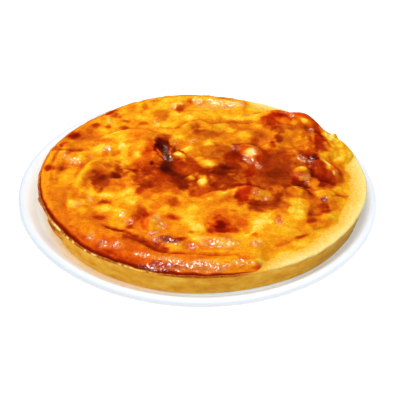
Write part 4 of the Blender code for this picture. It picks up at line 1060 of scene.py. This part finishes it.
def custard_finish():
    nodes = Nodes("baked_custard", TART_TONE)
    mottle = nodes.math("SUBTRACT", nodes.grain(4.5, detail=4.0, roughness=0.6), 0.5)
    fleck = nodes.math("SUBTRACT", nodes.grain(1.5, detail=3.0, roughness=0.6), 0.5)
    ground = nodes.value("brown")
    brown = nodes.math("MULTIPLY_ADD", mottle, nodes.spread(ground, 0.3, 0.9, 0.46, 0.30), ground)
    brown = nodes.math("MULTIPLY_ADD", fleck, nodes.spread(ground, 0.3, 0.9, 0.44, 0.14), brown)
    skin_colour = nodes.mix(nodes.value("red"), nodes.ramp(brown, OCHRE_COLOURS), nodes.ramp(brown, RED_COLOURS))
    gloss = nodes.value("gloss")
    wet = nodes.math("MULTIPLY", gloss, nodes.spread(nodes.grain(1.5, detail=1.0), 0.40, 0.54))
    # Painted highlight: the glossy speckles are painted paler and yellower, less so on dark skin, so that
    # their glints look warm
    glint_paint = nodes.math("MULTIPLY", wet, nodes.spread(ground, 0.5, 0.9, 0.24, 0.03))
    skin_colour = nodes.mix(glint_paint, skin_colour, GLINT_PAINT_COLOUR)
    nodes.set("Base Color", nodes.mix(nodes.value("pale"), skin_colour, PALE_CUSTARD))
    nodes.set("Roughness", nodes.spread(gloss, 0.0, 1.0, 0.42, 0.32))
    nodes.set("Specular IOR Level", 0.0)
    nodes.set("Coat Weight", nodes.spread(wet, 0.05, 0.6))
    nodes.set("Coat Roughness", 0.31)
    nodes.set("Coat IOR", 2.05)
    nodes.set("Subsurface Weight", 0.25)
    nodes.set("Subsurface Radius", (1.0, 0.35, 0.08))
    nodes.set("Subsurface Scale", 2.5 * MM)
    wrinkles = nodes.bump(nodes.grain(2.2, detail=3.0, roughness=0.6), 0.4, 0.6)
    nodes.set("Normal", nodes.bump(nodes.grain(0.8, detail=2.0, roughness=0.6), 0.18, 0.6, wrinkles))
    nodes.set("Coat Normal", nodes.bump(nodes.grain(2.7, detail=0.0), 1.0))
    return nodes.material


def pastry_finish():
    nodes = Nodes("pastry", TART_TONE)
    layers = nodes.grain(11.0, detail=4.0, roughness=0.6, stretch=(1.0, 1.0, 1.8))
    outward = nodes.math("MULTIPLY_ADD", nodes.value("outward"), 0.5, -0.2)
    crumb = nodes.math("MULTIPLY_ADD", nodes.grain(1.8, detail=4.0, roughness=0.7), 1.1, outward)
    # Painted shade: the wall darker on its side away from the key light
    shade_side = nodes.math("MULTIPLY", nodes.value("shade_side"), SHADE_SIDE_SHARE)
    colour = nodes.mix(shade_side, nodes.ramp(layers, WALL_COLOURS), SHADE_SIDE_COLOUR)
    colour = nodes.mix(nodes.value("browned"), colour, BROWNED_COLOUR)
    singed = nodes.ramp(nodes.grain(3.0, detail=3.0, roughness=0.6), SINGED_COLOURS)
    colour = nodes.mix(nodes.value("burnt"), colour, singed)
    colour = nodes.mix(nodes.value("rim"), colour, nodes.ramp(crumb, RIM_COLOURS))
    colour = nodes.mix(nodes.spread(nodes.value("leak"), 0.0, 0.8), colour, LEAK_COLOUR)
    colour = nodes.mix(nodes.spread(nodes.value("leak_core"), 0.1, 1.0), colour, LEAK_CORE_COLOUR)
    nodes.set("Base Color", colour)
    nodes.set("Roughness", nodes.spread(nodes.grain(1.2), 0.3, 0.7, 0.68, 0.85))
    nodes.set("Specular IOR Level", 0.12)
    nodes.set("Subsurface Weight", 0.08)
    nodes.set("Subsurface Radius", (1.0, 0.6, 0.25))
    nodes.set("Subsurface Scale", 1.5 * MM)
    crumbs = nodes.bump(nodes.grain(1.6, detail=4.0, roughness=0.65), 0.5, 0.5)
    nodes.set("Normal", nodes.bump(nodes.grain(0.5, detail=2.0, roughness=0.6), 0.2, 0.4, crumbs))
    return nodes.material


def glaze_finish():
    nodes = Nodes("white_glaze")
    outward = nodes.add("VectorMath", operation="LENGTH")
    nodes.link(nodes.place(), outward.inputs[0])
    # Painted shade: the glaze turns greyer towards the lip
    rolled = nodes.spread(outward.outputs["Value"], LIP_SHADE_SPAN[0] * MM, LIP_SHADE_SPAN[1] * MM)
    cloud = nodes.math("MULTIPLY_ADD", nodes.grain(40.0, detail=2.0, roughness=0.5), 0.2, rolled)
    # Painted reflected light: a warm, patchy glow on the plate round the tart's foot
    patchy = nodes.spread(nodes.grain(9.0), 0.3, 0.6, 0.55, 0.85)
    glow_patches = nodes.math("MULTIPLY", nodes.value("painted_glow"), patchy)
    nodes.set("Base Color", nodes.mix(glow_patches, nodes.ramp(cloud, GLAZE_AND_SHADE_COLOURS), GLOW_COLOUR))
    nodes.set("Roughness", nodes.spread(nodes.grain(14.0), 0.3, 0.7, 0.16, 0.24))
    nodes.set("Coat Weight", 0.4)
    nodes.set("Coat Roughness", 0.06)
    nodes.set("Normal", nodes.bump(nodes.grain(22.0, detail=1.0), 0.08, 0.3))
    return nodes.material


def floor_finish():
    nodes = Nodes("floor_white")
    nodes.set("Base Color", (FLOOR_GREY, FLOOR_GREY, FLOOR_GREY, 1.0))
    nodes.set("Roughness", 0.9)
    nodes.set("Specular IOR Level", 0.1)
    nodes.set("Emission Color", (1.0, 1.0, 1.0, 1.0))
    nodes.set("Emission Strength", FLOOR_GLOW)
    return nodes.material


# ---- stage ----

def make_floor():
    mesh = bpy.data.meshes.new("floor")
    corners = [(-1, -1), (1, -1), (1, 1), (-1, 1)]
    mesh.from_pydata([(x * FLOOR_HALF, y * FLOOR_HALF, 0.0) for x, y in corners], [], [(0, 1, 2, 3)])
    mesh.materials.append(floor_finish())
    floor = bpy.data.objects.new("floor", mesh)
    bpy.context.scene.collection.objects.link(floor)
    return floor


def make_world():
    """White to look at, a soft light all round, and dim in reflections."""
    world = bpy.data.worlds.new("studio")
    bpy.context.scene.world = world
    world.use_nodes = True
    tree = world.node_tree
    background = tree.nodes["Background"]
    background.inputs["Color"].default_value = (1.0, 1.0, 1.0, 1.0)
    path = tree.nodes.new("ShaderNodeLightPath")
    level = tree.nodes.new("ShaderNodeMix")
    level.inputs[2].default_value = WORLD_LIGHT
    level.inputs[3].default_value = WORLD_REFLECTED
    tree.links.new(path.outputs["Is Glossy Ray"], level.inputs[0])
    seen = tree.nodes.new("ShaderNodeMix")
    seen.inputs[3].default_value = 1.0
    tree.links.new(path.outputs["Is Camera Ray"], seen.inputs[0])
    tree.links.new(level.outputs[0], seen.inputs[2])
    tree.links.new(seen.outputs[0], background.inputs["Strength"])


def softbox(name, place, size, watts, lit, shadow=False, colour=(1.0, 1.0, 1.0)):
    """A soft light that faces the tart and lights one collection alone."""
    light = bpy.data.lights.new(name, "AREA")
    light.shape = "RECTANGLE"
    light.size, light.size_y = size
    light.energy = watts
    light.use_shadow = shadow
    light.color = colour
    lamp = bpy.data.objects.new(name, light)
    bpy.context.scene.collection.objects.link(lamp)
    lamp.location = place
    lamp.rotation_euler = (LIGHT_AIM - Vector(place)).to_track_quat("-Z", "Y").to_euler()
    lamp.light_linking.receiver_collection = lit
    return lamp


def make_lights(tart_and_floor, plate):
    """The tart's lights, and soft ones for the glossy white plate alone."""
    studio = bpy.data.collections.new("lit_by_studio")
    for piece in tart_and_floor:
        studio.objects.link(piece)
    softbox("key", (-0.85, 0.10, 0.55), (0.20, 0.20), 4.6, studio, shadow=True)
    softbox("overhead", (0.0, 0.20, 1.0), (0.06, 0.35), 5.2, studio)
    softbox("fill", (-0.2, -1.1, 0.80), (0.9, 0.5), 5.2, studio).visible_glossy = False
    strip = softbox("strip", (0.15, 0.80, 0.66), (0.5, 0.04), 0.92, studio, colour=STRIP_COLOUR)
    strip.visible_diffuse = False
    glaze = bpy.data.collections.new("white_glaze_only")
    glaze.objects.link(plate)
    softbox("plate_dome", (0.10, -0.15, 1.0), (1.6, 1.6), 9.7, glaze, shadow=True, colour=DOME_COLOUR)
    softbox("plate_wash", (0.1, -0.10, 1.1), (0.8, 0.8), 6.3, glaze, colour=WASH_COLOUR)


def make_camera():
    camera = bpy.data.cameras.new("camera")
    camera.lens = LENS_FOCAL
    camera.sensor_width = SENSOR
    camera.clip_start = CLIP_START
    lens = bpy.data.objects.new("camera", camera)
    bpy.context.scene.collection.objects.link(lens)
    elevation, roll = math.radians(CAMERA_ELEVATION), math.radians(CAMERA_ROLL)
    back = Vector((0.0, -math.cos(elevation), math.sin(elevation)))
    level_right = Vector((1.0, 0.0, 0.0))
    level_up = back.cross(level_right)
    right = math.cos(roll) * level_right + math.sin(roll) * level_up
    up = math.cos(roll) * level_up - math.sin(roll) * level_right
    aim = Vector((TART_X + CAMERA_AIM[0], TART_Y + CAMERA_AIM[1], RIM_LEVEL)) * MM
    turned = Matrix((right, up, back)).transposed().to_4x4()
    lens.matrix_world = Matrix.Translation(aim + back * CAMERA_DISTANCE * MM) @ turned
    bpy.context.scene.camera = lens


def main():
    custard = make_custard(custard_finish())
    crust = make_crust(pastry_finish())
    plate = make_plate(glaze_finish())
    floor = make_floor()
    make_world()
    make_lights((custard, crust, floor), plate)
    make_camera()
    bpy.context.scene.view_settings.view_transform = "Standard"


main()
